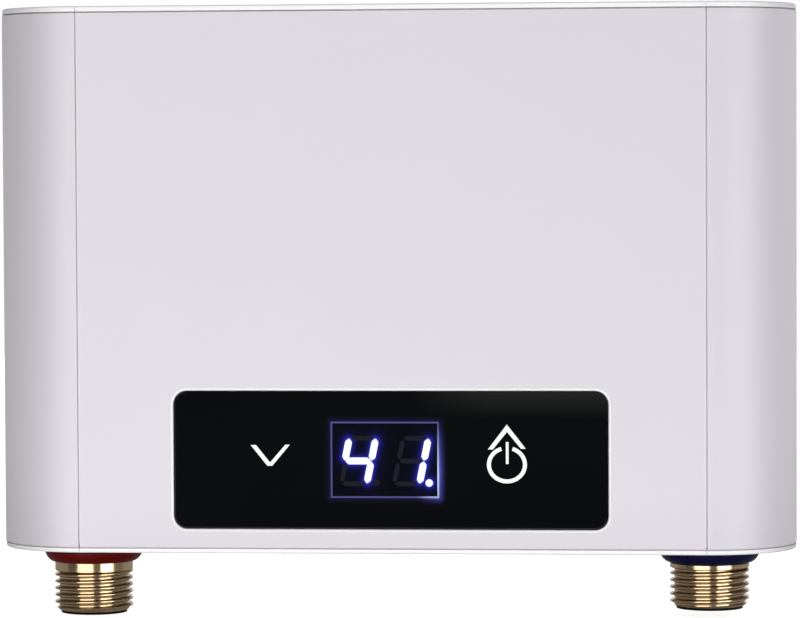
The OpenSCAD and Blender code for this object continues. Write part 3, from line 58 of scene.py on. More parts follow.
def grain(tree, scale, stretch=(1, 1, 1), detail=2.0):
    """Uneven grain on the piece's own place in metres, drawn out along an axis where stretch is small."""
    place = tree.nodes.new("ShaderNodeTexCoord")
    drawn = tree.nodes.new("ShaderNodeMapping")
    drawn.inputs["Scale"].default_value = stretch
    noise = tree.nodes.new("ShaderNodeTexNoise")
    noise.inputs["Scale"].default_value = scale
    noise.inputs["Detail"].default_value = detail
    tree.links.new(place.outputs["Object"], drawn.inputs["Vector"])
    tree.links.new(drawn.outputs["Vector"], noise.inputs["Vector"])
    return noise.outputs["Fac"]


def between(tree, source, low, high, into, start=0.3, stop=0.7):
    """Feeds a socket with a number that runs from low to high with the source."""
    span = tree.nodes.new("ShaderNodeMapRange")
    span.inputs["From Min"].default_value = start
    span.inputs["From Max"].default_value = stop
    span.inputs["To Min"].default_value = low
    span.inputs["To Max"].default_value = high
    tree.links.new(source, span.inputs["Value"])
    tree.links.new(span.outputs["Result"], into)


def two_tones(tree, source, first, second, into):
    """Feeds a colour socket with a blend of two colours."""
    blend = tree.nodes.new("ShaderNodeMix")
    blend.data_type = "RGBA"
    blend.inputs[6].default_value = first
    blend.inputs[7].default_value = second
    tree.links.new(source, blend.inputs[0])
    tree.links.new(blend.outputs[2], into)


def relief(tree, source, height, shader):
    """Raises the surface by up to height where the source is 1."""
    bump = tree.nodes.new("ShaderNodeBump")
    bump.inputs["Distance"].default_value = height
    tree.links.new(source, bump.inputs["Height"])
    tree.links.new(bump.outputs["Normal"], shader.inputs["Normal"])


def moulded(name, colour, rough, gloss=0.5, texture=3500, depth=0.004 * mm, drift=0.03):
    """Moulded plastic or rubber: a slow drift of colour, uneven gloss and the fine texture of the mould."""
    made, tree, shader = new_finish(name)
    deeper = [c * (1 - drift) for c in colour[:3]] + [1.0]
    two_tones(tree, grain(tree, 22), deeper, colour, shader.inputs["Base Color"])
    between(tree, grain(tree, 260), rough - 0.04, rough + 0.04, shader.inputs["Roughness"])
    relief(tree, grain(tree, texture), depth, shader)
    shader.inputs["Specular IOR Level"].default_value = gloss
    return made


def clear():
    """Nothing is selected, so that the next operator meets only the piece that it is for."""
    bpy.ops.object.select_all(action="DESELECT")


def set_in_place(piece, scale=(1, 1, 1)):
    """The piece's place, turn and scale go into its mesh."""
    clear()
    piece.select_set(True)
    piece.scale = scale
    bpy.context.view_layer.objects.active = piece
    bpy.ops.object.transform_apply(location=True, rotation=True, scale=True)
    return piece


def block(low, high):
    """A box between two corners, in millimetres."""
    clear()
    bpy.ops.mesh.primitive_cube_add(size=1, location=[(a + b) / 2 * mm for a, b in zip(low, high)])
    return set_in_place(bpy.context.object, [(b - a) * mm for a, b in zip(low, high)])


LEVEL, TO_WALL, TO_FRONT, DOWN = (0, 0, 0), (radians(-90), 0, 0), (radians(90), 0, 0), (radians(180), 0, 0)


def rod(at, length, radius, facing=LEVEL, top=None, sides=48):
    """A round bar that starts at a point and runs the way it faces, narrowing or widening to top."""
    clear()
    bpy.ops.mesh.primitive_cone_add(
        vertices=sides, radius1=radius * mm, radius2=(radius if top is None else top) * mm, depth=length * mm
    )
    piece = bpy.context.object
    bpy.ops.object.mode_set(mode="EDIT")
    bpy.ops.transform.translate(value=(0, 0, length / 2 * mm))
    bpy.ops.object.mode_set(mode="OBJECT")
    piece.rotation_euler = facing
    piece.location = [c * mm for c in at]
    return set_in_place(piece)


def pick(piece, kind, test):
    """Edit mode, with only those corners, edges or faces selected whose middle, in millimetres, passes."""
    clear()
    piece.select_set(True)
    bpy.context.view_layer.objects.active = piece
    bpy.ops.object.mode_set(mode="EDIT")
    bpy.ops.mesh.select_mode(type=kind)
    bpy.ops.mesh.select_all(action="DESELECT")
    mesh = bmesh.from_edit_mesh(piece.data)
    for item in {"VERT": mesh.verts, "EDGE": mesh.edges, "FACE": mesh.faces}[kind]:
        if kind == "VERT":
            middle = item.co
        else:
            middle = sum((v.co for v in item.verts), Vector()) / len(item.verts)
        item.select_set(bool(test(middle / mm, item)))
    mesh.select_flush_mode()
    bmesh.update_edit_mesh(piece.data)


def done():
    """Back from edit mode."""
    bpy.ops.object.mode_set(mode="OBJECT")


def finish_off(piece, kind, **values):
    """Adds a modifier and applies it."""
    bpy.context.view_layer.objects.active = piece
    made = piece.modifiers.new(kind.title(), kind)
    for key, value in values.items():
        setattr(made, key, value)
    bpy.ops.object.modifier_apply(modifier=made.name)


def soften(piece, width, segments=2, angle=40):
    """Breaks every sharp edge of a piece by a small width."""
    finish_off(
        piece, "BEVEL", width=width * mm, segments=segments, limit_method="ANGLE", angle_limit=radians(angle)
    )


def put_together(*parts):
    """Several meshes become one."""
    clear()
    for part in parts:
        part.select_set(True)
    bpy.context.view_layer.objects.active = parts[0]
    if len(parts) > 1:
        bpy.ops.object.join()
    return parts[0]


def shape_with(piece, how, *tools):
    """Cuts tools out of a piece, keeps what lies in them, or grows the piece by them."""
    tool = put_together(*tools)
    finish_off(piece, "BOOLEAN", operation=how, object=tool, solver="EXACT", use_self=len(tools) > 1)
    bpy.data.objects.remove(tool)


SCREW_R, HEAD_R, HEAD_DEEP = 1.55, 2.91, 1.7


def screw_hole(at, facing, length):
    """Countersunk hole whose head faces the given way, as two cutters."""
    turn = Matrix.Rotation(facing[0], 3, "X")
    deep = [a + b for a, b in zip(at, turn @ Vector((0, 0, -length)))]
    head = [a + b for a, b in zip(at, turn @ Vector((0, 0, -HEAD_DEEP)))]
    shaft = rod(deep, length + 0.5, SCREW_R, facing, sides=32)
    return shaft, rod(head, HEAD_DEEP + 0.01, SCREW_R, facing, top=HEAD_R, sides=32)


def settle(piece, name, finish, slot, *nodes, angle=35):
    """Names and shades a finished piece, hangs it under the casing's body and hides the solids that it stands
    for.
    """
    clear()
    piece.select_set(True)
    bpy.context.view_layer.objects.active = piece
    bpy.ops.object.shade_smooth_by_angle(angle=radians(angle))
    finish_off(piece, "WEIGHTED_NORMAL", keep_sharp=True)
    piece.name = piece.data.name = name
    piece.data.materials.clear()
    piece.data.materials.append(finish)
    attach(piece, "casing")
    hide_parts(*nodes)


def dress(finish, *nodes):
    """Gives solids that keep their shape a finish of their own."""
    for node in nodes:
        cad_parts[node].material_slots[0].material = finish


casing_white = moulded("casing_white", shown(225, 219, 227), 0.42, gloss=0.3, texture=4000, depth=0.003 * mm)

PLATE_HALF, PLATE_END, PLATE_THICK, POST_R = 93.325, 69.75, 2.5, 3
plate = block((-PLATE_HALF, -PLATE_THICK, -PLATE_END), (PLATE_HALF, 0, PLATE_END))
soften(plate, 0.3)
posts = [rod((x, -2.6, z), 5.9, POST_R, TO_FRONT) for x in (-51.5, 51.5) for z in (-59, -20)]
shape_with(plate, "UNION", *posts)
keyhole_x, keyhole_low, keyhole_top, entry_r, slot_r = 45, 41.5, 52.5, 4.5, 2.3
edge_screw_x, block_screw_x = 90, 56
openings = []
for side in (-1, 1):
    x = side * keyhole_x
    openings += [rod((x, -4, keyhole_low), 6, entry_r, TO_WALL)]
    openings += [rod((x, -4, keyhole_top), 6, slot_r, TO_WALL, sides=32)]
    openings += [block((x - slot_r, -4, keyhole_low), (x + slot_r, 2, keyhole_top))]
    openings += [cut for z in (-55, 0, 55) for cut in screw_hole((side * edge_screw_x, 0, z), TO_WALL, 6)]
    openings += [cut for z in (12, 56) for cut in screw_hole((side * block_screw_x, 0, z), TO_WALL, 6)]
shape_with(plate, "DIFFERENCE", *openings)
settle(plate, "back_plate_moulding", casing_white, "casing_white", "back_plate")

# Control board with its relay, power module, capacitors, chip and terminals.
# Glass-fibre laminate with green lacquer over copper tracks, screwed to the posts of the back plate.
board_green, tree, shader = new_finish("board_green")
place = tree.nodes.new("ShaderNodeTexCoord")
upright = tree.nodes.new("ShaderNodeMapping")
upright.inputs["Rotation"].default_value = (radians(90), 0, 0)
tracks = tree.nodes.new("ShaderNodeTexBrick")
tracks.inputs["Scale"].default_value = 110
tracks.inputs["Mortar Size"].default_value = 0.035
tracks.inputs["Color1"].default_value = shown(20, 92, 52)
tracks.inputs["Color2"].default_value = shown(24, 99, 56)
tracks.inputs["Mortar"].default_value = shown(48, 128, 72)
tree.links.new(place.outputs["Object"], upright.inputs["Vector"])
tree.links.new(upright.outputs["Vector"], tracks.inputs["Vector"])
tree.links.new(tracks.outputs["Color"], shader.inputs["Base Color"])
between(tree, grain(tree, 400), 0.22, 0.34, shader.inputs["Roughness"])
relief(tree, tracks.outputs["Fac"], 0.03 * mm, shader)
dress(board_green, "control_board", "display_board")
dress(moulded("part_black", shown(26, 26, 28), 0.5, texture=6000, depth=0.01 * mm),
      "hall_sensor", "triac", "power_module", "control_chip")
dress(moulded("relay_blue", shown(38, 84, 150), 0.36), "relay")
dress(moulded("terminal_ivory", shown(226, 222, 208), 0.45), "terminal_block")
dress(moulded("can_black", shown(30, 31, 42), 0.3, texture=900, depth=0.01 * mm), "capacitors")

# Heating block with its two elements, and the water tube cast into it.
# Die-cast aluminium with a sandy skin; the tube is drawn stainless steel, the elements are sheathed rods.


def metal(name, colour, rough, stretch=(1, 1, 1), scale=900, depth=0.004 * mm, drift=0.1, spread=0.06):
    """Bare metal: uneven tone, uneven gloss and the marks of its making, drawn out along one axis."""
    made, tree, shader = new_finish(name)
    deeper = [c * (1 - drift) for c in colour[:3]] + [1.0]
    marks = grain(tree, scale, stretch, detail=4.0)
    two_tones(tree, grain(tree, 60), deeper, colour, shader.inputs["Base Color"])
    between(tree, marks, rough - spread, rough + spread, shader.inputs["Roughness"])
    relief(tree, marks, depth, shader)
    shader.inputs["Metallic"].default_value = 1.0
    return made


cast_aluminium = metal("cast_aluminium", shown(196, 198, 202), 0.5, scale=1600, depth=0.03 * mm)
dress(cast_aluminium, "heating_block", "triac_clamp")
dress(metal("tube_steel", shown(206, 207, 210), 0.26, stretch=(0.1, 1, 1)), "water_tube")
dress(metal("element_grey", shown(132, 129, 126), 0.42, stretch=(1, 1, 0.15)), "heating_elements")
dress(moulded("terminal_ceramic", shown(236, 231, 221), 0.3, gloss=0.6), "element_terminals")
dress(moulded("lead_red", shown(186, 32, 28), 0.4), "heater_leads")

# Thermal cut-out with its red reset button, the temperature probe and the switch's clamp screw.
# The cut-out is dark phenolic, the button red nylon, the clip spring steel and the probe a brass sleeve.
screw_steel = metal(
    "screw_steel", shown(204, 205, 208), 0.3, stretch=(1, 1, 0.3), scale=1400, depth=0.003 * mm
)
dress(moulded("cutout_brown", shown(52, 44, 38), 0.4), "thermal_cutout")
dress(moulded("button_red", shown(196, 36, 30), 0.35), "reset_button")
dress(metal("clip_steel", shown(190, 192, 196), 0.28, stretch=(1, 1, 0.2)), "probe_clip")
probe_brass = metal("probe_brass", shown(214, 180, 112), 0.3, stretch=(1, 1, 8))
dress(probe_brass, "temperature_probe", "terminal_screws")
dress(screw_steel, "clamp_screw", "cutout_screws", "board_screws", "block_screws", "display_board_screws",
      "fitting_screws", "plate_screws", "cap_screws")
dress(moulded("lead_grey", shown(62, 62, 66), 0.45), "sensor_leads")

# Flow sensor on the cold side: ivory nylon body and cage, blue turbine rotor on a steel pin, ring magnet.
# The rotor turns freely; a small strainer sits below it, and rubber rings and washers seal the joints.
dress(moulded("sensor_ivory", shown(228, 224, 210), 0.42), "flow_sensor_body", "rotor_cage")
dress(moulded("rotor_blue", shown(52, 74, 140), 0.38), "flow_rotor")
dress(metal("magnet_grey", shown(92, 92, 96), 0.5, scale=2400, depth=0.01 * mm), "rotor_magnet")
dress(metal("shaft_steel", shown(212, 213, 216), 0.16, stretch=(1, 1, 10)), "rotor_shaft")
dress(moulded("strainer_white", shown(218, 218, 212), 0.4), "inlet_strainer")
rubber_black = moulded("rubber_black", shown(20, 20, 21), 0.62, gloss=0.35, texture=5000, depth=0.012 * mm)
dress(rubber_black, "seals", "cable_grommet")
washer_black = moulded("washer_black", shown(9, 9, 10), 0.6, gloss=0.1, texture=5000, depth=0.012 * mm)
dress(washer_black, "hose_washers")

# Side shells: two extruded ABS profiles with the tall round front corner and a small round rear corner.
# Each has a lip behind the front panel and one inside the back plate, and two channels for the cap screws.
FRONT_Y, PANEL_BACK, HALF_W = -52, -49.4, 105.5
CORNER_R, REAR_R, WALL = 23.5, 5, 2.4
LOW_Z, HIGH_Z = -70.03, 69.75
SEAM_X, REAR_SEAM_X, SEAM_GAP = HALF_W - CORNER_R, 93.5, 0.175
CAP_SCREWS = ((95.01, -41.51), (100.4, -9.5))
clear()
bpy.ops.mesh.primitive_plane_add(
    size=1, location=(SEAM_X * mm, (FRONT_Y + WALL / 2) * mm, (LOW_Z + HIGH_Z) / 2 * mm),
    rotation=(0, radians(90), 0),
)
shell = set_in_place(bpy.context.object, ((HIGH_Z - LOW_Z) * mm, WALL * mm, 1))
pick(shell, "FACE", lambda at, face: True)
front_axis = (SEAM_X * mm, (FRONT_Y + CORNER_R) * mm, 0)
bpy.ops.mesh.spin(steps=40, angle=radians(-90), center=front_axis, axis=(0, 0, 1))
side_length = -REAR_R - FRONT_Y - CORNER_R
bpy.ops.mesh.extrude_region_move(TRANSFORM_OT_translate={"value": (0, side_length * mm, 0)})
rear_axis = ((HALF_W - REAR_R) * mm, -REAR_R * mm, 0)
bpy.ops.mesh.spin(steps=12, angle=radians(-90), center=rear_axis, axis=(0, 0, 1))
rear_length = HALF_W - REAR_R - REAR_SEAM_X - SEAM_GAP
bpy.ops.mesh.extrude_region_move(TRANSFORM_OT_translate={"value": (-rear_length * mm, 0, 0)})
done()
pick(shell, "VERT", lambda at, corner: abs(at.x - SEAM_X) < 0.05 and at.y < PANEL_BACK + 0.4)
bpy.ops.transform.translate(value=(SEAM_GAP * mm, 0, 0))
bpy.ops.mesh.select_all(action="SELECT")
bpy.ops.mesh.remove_doubles(threshold=0.001 * mm)
bpy.ops.mesh.normals_make_consistent(inside=False)
done()
soften(shell, 0.16)
web_end = 69.6
front_lip = block((75, PANEL_BACK, -PLATE_END), (86, -47.6, PLATE_END))
rear_lip = block((86.5, -4.3, -PLATE_END), (97.5, -PLATE_THICK, PLATE_END))
front_web = block((82.4, -50.6, -web_end), (86, -48, web_end))
rear_web = block((93.9, -4, -web_end), (97.5, -1.4, web_end))
seam_floor = block((SEAM_X - 0.12, FRONT_Y + 0.45, -web_end), (SEAM_X + 0.12, -48.5, web_end))
channels = [rod((x, y, -67.9), 135.8, 3.5) for x, y in CAP_SCREWS]
shape_with(shell, "UNION", front_lip, rear_lip, front_web, rear_web, seam_floor, *channels)
bores = [rod((x, y, -80), 160, SCREW_R, sides=24) for x, y in CAP_SCREWS]
shape_with(shell, "DIFFERENCE", *bores)
clear()
shell.select_set(True)
bpy.context.view_layer.objects.active = shell
bpy.ops.object.duplicate()
left_shell = bpy.context.object
pick(left_shell, "VERT", lambda at, corner: True)
bpy.ops.transform.resize(value=(-1, 1, 1), center_override=(0, 0, 0))
bpy.ops.mesh.normals_make_consistent(inside=False)
done()
settle(shell, "right_side_shell_profile", casing_white, "casing_white", "right_side_shell")
settle(left_shell, "left_side_shell_profile", casing_white, "casing_white", "left_side_shell")

# Front panel: a flat moulded ABS plate between the shells, with a recessed pocket for the display glass.
# The pocket's rim is rounded off, its front bevels and those of the panel carry a painted white highlight,
# and four posts behind it carry the display board.


def rounded_plate(middle, size, radius, depth, steps=10):
    """A flat plate with round corners, given by the middle of its front face, its size and its depth."""
    clear()
    bpy.ops.mesh.primitive_plane_add(size=1, location=[c * mm for c in middle], rotation=TO_FRONT)
    piece = set_in_place(bpy.context.object, (size[0] * mm, size[1] * mm, 1))
    pick(piece, "VERT", lambda at, corner: True)
    bpy.ops.mesh.bevel(offset=radius * mm, segments=steps, affect="VERTICES", clamp_overlap=False)
    bpy.ops.mesh.select_all(action="SELECT")
    bpy.ops.mesh.extrude_region_move(TRANSFORM_OT_translate={"value": (0, depth * mm, 0)})
    bpy.ops.mesh.select_all(action="SELECT")
    bpy.ops.mesh.normals_make_consistent(inside=False)
    done()
    return piece


GLASS_Y, GLASS_Z, GLASS_SIDE = -51.9, -46.9, -0.1
GLASS_SIZE, GLASS_R, GLASS_ROOM = (113.25, 35.8), 3.4, 0.15
panel_half = SEAM_X - 0.15
panel = block((-panel_half, FRONT_Y, LOW_Z), (panel_half, PANEL_BACK, HIGH_Z))
soften(panel, 0.16)
pocket_size = [side + 2 * GLASS_ROOM for side in GLASS_SIZE]
pocket = rounded_plate((GLASS_SIDE, FRONT_Y - 2, GLASS_Z - 0.1), pocket_size, GLASS_R + GLASS_ROOM, 3.9)
shape_with(panel, "DIFFERENCE", pocket)
shape_with(panel, "DIFFERENCE", rounded_plate((0, FRONT_Y - 2, GLASS_Z), (110.1, 32.6), 3.3, 6))
pick(panel, "EDGE", lambda at, edge: abs(at.x) < 57.2 and abs(at.z - GLASS_Z) < 18.4
     and all(abs(v.co.y / mm - FRONT_Y) < 0.01 for v in edge.verts))
bpy.ops.mesh.bevel(offset=0.6 * mm, segments=3, affect="EDGES")
done()
posts = [rod((x, -49.5, GLASS_Z + z), 5.6, POST_R, TO_WALL) for x in (-61.4, 61.4) for z in (-12.4, 12.4)]
shape_with(panel, "UNION", *posts)


def mark(piece, name, test):
    """Keeps a value from 0 to 1 on each face, found from its middle in millimetres and its normal."""
    values = piece.data.attributes.new(name, "FLOAT", "FACE")
    for face in piece.data.polygons:
        values.data[face.index].value = float(test(face.center / mm, face.normal))


def blend_in(finish, factor, colour):
    """Blends the colour of a finish into a second one."""
    tree = finish.node_tree
    base = tree.nodes["Principled BSDF"].inputs["Base Color"]
    blend = tree.nodes.new("ShaderNodeMix")
    blend.data_type = "RGBA"
    blend.inputs[7].default_value = colour
    tree.links.new(base.links[0].from_socket, blend.inputs[6])
    tree.links.new(factor, blend.inputs[0])
    tree.links.new(blend.outputs[2], base)


def blend_where(finish, name, colour):
    """Blends a finish into a second colour on the faces that are marked."""
    read = finish.node_tree.nodes.new("ShaderNodeAttribute")
    read.attribute_name = name
    blend_in(finish, read.outputs["Fac"], colour)


# Painted highlight: the marked bevel faces of the casing are blended to pure white.
blend_where(casing_white, "polished", shown(255, 255, 255))
# The panel's front bevels and the pocket's rim get the painted highlight.
mark(panel, "polished", lambda at, facing: at.y < -51.3 and -0.99 < facing.y < -0.1 and abs(at.z) < 69)
settle(panel, "front_panel_plate", casing_white, "casing_white", "front_panel")

# Display board behind the panel, with contact pads under the two touch keys and a flat ribbon.
# The pads are black conductive foam, the ribbon is grey with one fine stripe for each conductor.
dress(moulded("pad_black", shown(28, 28, 30), 0.8, gloss=0.2, texture=1500, depth=0.06 * mm), "touch_pads")
ribbon_grey, tree, shader = new_finish("ribbon_grey")
place = tree.nodes.new("ShaderNodeTexCoord")
wires = tree.nodes.new("ShaderNodeTexWave")
wires.inputs["Scale"].default_value = 250
tree.links.new(place.outputs["Object"], wires.inputs["Vector"])
two_tones(tree, wires.outputs["Fac"], shown(168, 168, 174), shown(204, 204, 208), shader.inputs["Base Color"])
relief(tree, wires.outputs["Fac"], 0.15 * mm, shader)
between(tree, grain(tree, 300), 0.38, 0.5, shader.inputs["Roughness"])
dress(ribbon_grey, "display_ribbon")

# Digit module: a black epoxy block with two slanted seven-segment digits in its face.
# The lit bars throw a blue haze over the dark face, which is kept as a value on the face's own points.
FACE_Y, WINDOW_X = -51.88, -1.45
DIGIT_Z, DIGIT_PITCH, DIGIT_HALF_W, DIGIT_HALF_H = GLASS_Z - 0.3, 13.75, 3.45, 5.95
DIGIT_LEAN = tan(radians(11.4))


def bar_ends(digit, name):
    """Both ends of one bar of a digit, in millimetres across and up, leaned over."""
    corners = {
        "a": ((-1, 1), (1, 1)), "b": ((1, 1), (1, 0)), "c": ((1, 0), (1, -1)), "d": ((-1, -1), (1, -1)),
        "e": ((-1, 0), (-1, -1)), "f": ((-1, 1), (-1, 0)), "g": ((-1, 0), (1, 0)),
    }[name]
    middle = WINDOW_X + (digit - 0.5) * DIGIT_PITCH - 0.1
    points = []
    for side, level in corners:
        up = level * DIGIT_HALF_H
        points.append(Vector((middle + side * DIGIT_HALF_W + up * DIGIT_LEAN, 0, DIGIT_Z + up)))
    return points


LIT_BARS = [bar_ends(0, name) for name in "bcfg"] + [bar_ends(1, name) for name in "bc"]
LIT_POINT = Vector((WINDOW_X + DIGIT_PITCH / 2 + 4.7, 0, DIGIT_Z - 5.7))


def off_lit(point):
    """Distance of a point of the face from the nearest lit bar or lit point, in millimetres."""
    gaps = [(point - LIT_POINT).length - 0.9]
    for start, stop in LIT_BARS:
        along = stop - start
        share = min(max((point - start).dot(along) / along.length_squared, 0.15), 0.85)
        gaps.append((point - start - along * share).length - 0.8)
    return max(min(gaps), 0.0)


clear()
bpy.ops.mesh.primitive_grid_add(
    x_subdivisions=110, y_subdivisions=76, size=1, location=(WINDOW_X * mm, FACE_Y * mm, GLASS_Z * mm),
    rotation=TO_FRONT,
)
module = set_in_place(bpy.context.object, (27.4 * mm, 19 * mm, 1))
pick(module, "FACE", lambda at, face: True)
bpy.ops.mesh.extrude_region_move(TRANSFORM_OT_translate={"value": (0, 7.98 * mm, 0)})
bpy.ops.mesh.select_all(action="SELECT")
bpy.ops.mesh.normals_make_consistent(inside=False)
done()
haze = module.data.attributes.new("haze", "FLOAT", "POINT")
for corner in module.data.vertices:
    at = corner.co / mm
    gap = off_lit(Vector((at.x, 0, at.z)))
    haze.data[corner.index].value = 0.65 * exp(-gap / 0.42) + 0.08 * exp(-gap / 1.1) if at.y < -51 else 0.0
module_black, tree, shader = new_finish("module_black")
read = tree.nodes.new("ShaderNodeAttribute")
read.attribute_name = "haze"
# The face also gives off a faint painted blue glow where no haze reaches.
two_tones(tree, read.outputs["Fac"], shown(4, 5, 12), shown(60, 58, 226), shader.inputs["Emission Color"])
shader.inputs["Emission Strength"].default_value = 1.0
two_tones(tree, grain(tree, 500), shown(2, 2, 4), shown(5, 5, 8), shader.inputs["Base Color"])
between(tree, grain(tree, 900), 0.3, 0.45, shader.inputs["Roughness"])
shader.inputs["Specular IOR Level"].default_value = 0.01
settle(module, "digit_module_block", module_black, "module_black", "led_module")


def drawn_line(points):
    """A line drawn from point to point, in millimetres; it stays in edit mode with all of it selected."""
    clear()
    bpy.ops.mesh.primitive_plane_add(size=mm, location=(0, 0, 0))
    piece = bpy.context.object
    pick(piece, "VERT", lambda at, corner: True)
    bpy.ops.mesh.merge(type="CENTER")
    bpy.ops.transform.translate(value=Vector(points[0]) * mm)
    for here, there in zip(points, points[1:]):
        step = (Vector(there) - Vector(here)) * mm
        bpy.ops.mesh.extrude_vertices_move(TRANSFORM_OT_translate={"value": step})
    bpy.ops.mesh.select_all(action="SELECT")
    return piece


def drawn_shape(points, front, depth, blunt=0.0):
    """A flat shape drawn point by point, closed with a face, its corners blunted, and given its thickness."""
    piece = drawn_line([(across, front, up) for across, up in points])
    bpy.ops.mesh.edge_face_add()
    if blunt > 0:
        bpy.ops.mesh.bevel(offset=blunt * mm, segments=3, affect="VERTICES", clamp_overlap=True)
        bpy.ops.mesh.select_all(action="SELECT")
    bpy.ops.mesh.extrude_region_move(TRANSFORM_OT_translate={"value": (0, depth * mm, 0)})
    bpy.ops.mesh.select_all(action="SELECT")
    bpy.ops.mesh.normals_make_consistent(inside=False)
    done()
    return piece


def bar(start, stop, width):
    """One bar of a digit from tip to tip, with pointed ends."""
    along = (stop - start).normalized() * width / 2
    across = Vector((-along.z, 0, along.x))
    upper = [start + along + across, stop - along + across]
    lower = [stop - along - across, start + along - across]
    corners = [start, *upper, stop, *lower]
    return drawn_shape([(corner.x, corner.z) for corner in corners], GLASS_Y, 0.3, blunt=0.3)


bars = [bar(start.lerp(stop, 0.005), stop.lerp(start, 0.005), 1.8) for start, stop in LIT_BARS]
bars.append(rod((LIT_POINT.x, GLASS_Y, LIT_POINT.z), 0.3, 0.97, TO_WALL, sides=32))
lit = put_together(*bars)
lit_white, tree, shader = new_finish("lit_white")
two_tones(tree, grain(tree, 700), shown(236, 243, 251), shown(250, 253, 255), shader.inputs["Emission Color"])
shader.inputs["Emission Strength"].default_value = 1.0
shader.inputs["Base Color"].default_value = (0.02, 0.02, 0.02, 1)
between(tree, grain(tree, 900), 0.4, 0.5, shader.inputs["Roughness"])
settle(lit, "lit_digit_bars", lit_white, "lit_white", "lit_segments")
bars = [rod((WINDOW_X - 2.15, -51.89, LIT_POINT.z), 0.29, 0.8, TO_WALL, sides=32)]
for digit, names in ((0, "ade"), (1, "adefg")):
    for name in names:
        start, stop = (end + Vector((0.3 if name in "ef" else 0, 0, 0)) for end in bar_ends(digit, name))
        bars.append(bar(start.lerp(stop, 0.07), stop.lerp(start, 0.07), 1.2))
unlit = put_together(*bars)
unlit_grey, tree, shader = new_finish("unlit_grey")
two_tones(tree, grain(tree, 600), shown(15, 17, 23), shown(21, 23, 30), shader.inputs["Base Color"])
# Painted glow: the unlit bars give off a faint blue emission of their own.
two_tones(tree, grain(tree, 300), shown(11, 12, 20), shown(15, 16, 26), shader.inputs["Emission Color"])
shader.inputs["Emission Strength"].default_value = 1.0
between(tree, grain(tree, 900), 0.4, 0.55, shader.inputs["Roughness"])
shader.inputs["Specular IOR Level"].default_value = 0.02
settle(unlit, "unlit_digit_bars", unlit_grey, "unlit_grey", "unlit_segments")

# Clear acrylic surround of the module, which carries the light of the digits to its polished front edge.
# It glows violet blue, strongest on the right, next to the lit digit.


def nearness(tree, across, up, reach):
    """From 1 at a point of the piece, in millimetres, to 0 at its reach upwards, or half of it sideways."""
    place = tree.nodes.new("ShaderNodeTexCoord")
    shift = tree.nodes.new("ShaderNodeMapping")
    shift.inputs["Location"].default_value = (-2 * across * mm, 0, -up * mm)
    shift.inputs["Scale"].default_value = (2, 0, 1)
    away = tree.nodes.new("ShaderNodeVectorMath")
    away.operation = "LENGTH"
    span = tree.nodes.new("ShaderNodeMapRange")
    span.inputs["From Max"].default_value = reach * mm
    span.inputs["To Min"].default_value = 1.0
    span.inputs["To Max"].default_value = 0.0
    tree.links.new(place.outputs["Object"], shift.inputs["Vector"])
    tree.links.new(shift.outputs["Vector"], away.inputs[0])
    tree.links.new(away.outputs["Value"], span.inputs["Value"])
    return span.outputs["Result"]


glow_blue, tree, shader = new_finish("glow_blue")
near_point = nearness(tree, 12.7, LIT_POINT.z + 1.5, 13)
two_tones(tree, near_point, shown(78, 74, 132), shown(200, 212, 255), shader.inputs["Emission Color"])
shader.inputs["Emission Strength"].default_value = 1.0
two_tones(tree, grain(tree, 400), shown(18, 18, 30), shown(24, 24, 38), shader.inputs["Base Color"])
between(tree, grain(tree, 700), 0.12, 0.2, shader.inputs["Roughness"])
shader.inputs["Specular IOR Level"].default_value = 0.02
dress(glow_blue, "led_surround")

# Display glass: 1.8 mm float glass, printed black on the back, glued into the pocket, with a painted
# highlight on its left and lower front bevel.
# The lit window is cut out of the print, and its light spills a little way into the glass around it.
WINDOW_HALF_W, WINDOW_HALF_H = 14.15, 9.95
glass = rounded_plate((GLASS_SIDE, GLASS_Y, GLASS_Z - 0.1), GLASS_SIZE, GLASS_R, 1.8, steps=14)
pick(glass, "EDGE", lambda at, edge: all(abs(v.co.y / mm - GLASS_Y) < 0.01 for v in edge.verts))
bpy.ops.mesh.bevel(offset=0.34 * mm, segments=3, affect="EDGES")
done()
window = block((WINDOW_X - WINDOW_HALF_W, -53, GLASS_Z - WINDOW_HALF_H),
               (WINDOW_X + WINDOW_HALF_W, -49, GLASS_Z + WINDOW_HALF_H))
shape_with(glass, "DIFFERENCE", window)
display_black, tree, shader = new_finish("display_black")
place = tree.nodes.new("ShaderNodeTexCoord")
shift = tree.nodes.new("ShaderNodeMapping")
shift.inputs["Location"].default_value = (-WINDOW_X * mm, 0, -GLASS_Z * mm)
fold = tree.nodes.new("ShaderNodeVectorMath")
fold.operation = "ABSOLUTE"
outside = tree.nodes.new("ShaderNodeVectorMath")
outside.operation = "SUBTRACT"
outside.inputs[1].default_value = (WINDOW_HALF_W * mm, 1, WINDOW_HALF_H * mm)
edge_off = tree.nodes.new("ShaderNodeVectorMath")
edge_off.operation = "MAXIMUM"
far = tree.nodes.new("ShaderNodeVectorMath")
far.operation = "LENGTH"
fade = tree.nodes.new("ShaderNodeMapRange")
fade.inputs["From Max"].default_value = 2.4 * mm
fade.inputs["To Min"].default_value = 1.0
fade.inputs["To Max"].default_value = 0.0
spill = tree.nodes.new("ShaderNodeMath")
spill.operation = "MULTIPLY"
fast = tree.nodes.new("ShaderNodeMath")
fast.operation = "POWER"
fast.inputs[1].default_value = 2.8
for source, target in (
    (place.outputs["Object"], shift.inputs["Vector"]), (shift.outputs["Vector"], fold.inputs[0]),
    (fold.outputs[0], outside.inputs[0]), (outside.outputs[0], edge_off.inputs[0]),
    (edge_off.outputs[0], far.inputs[0]), (far.outputs["Value"], fade.inputs["Value"]),
    (fade.outputs["Result"], fast.inputs[0]), (fast.outputs[0], spill.inputs[0]),
):
    tree.links.new(source, target)
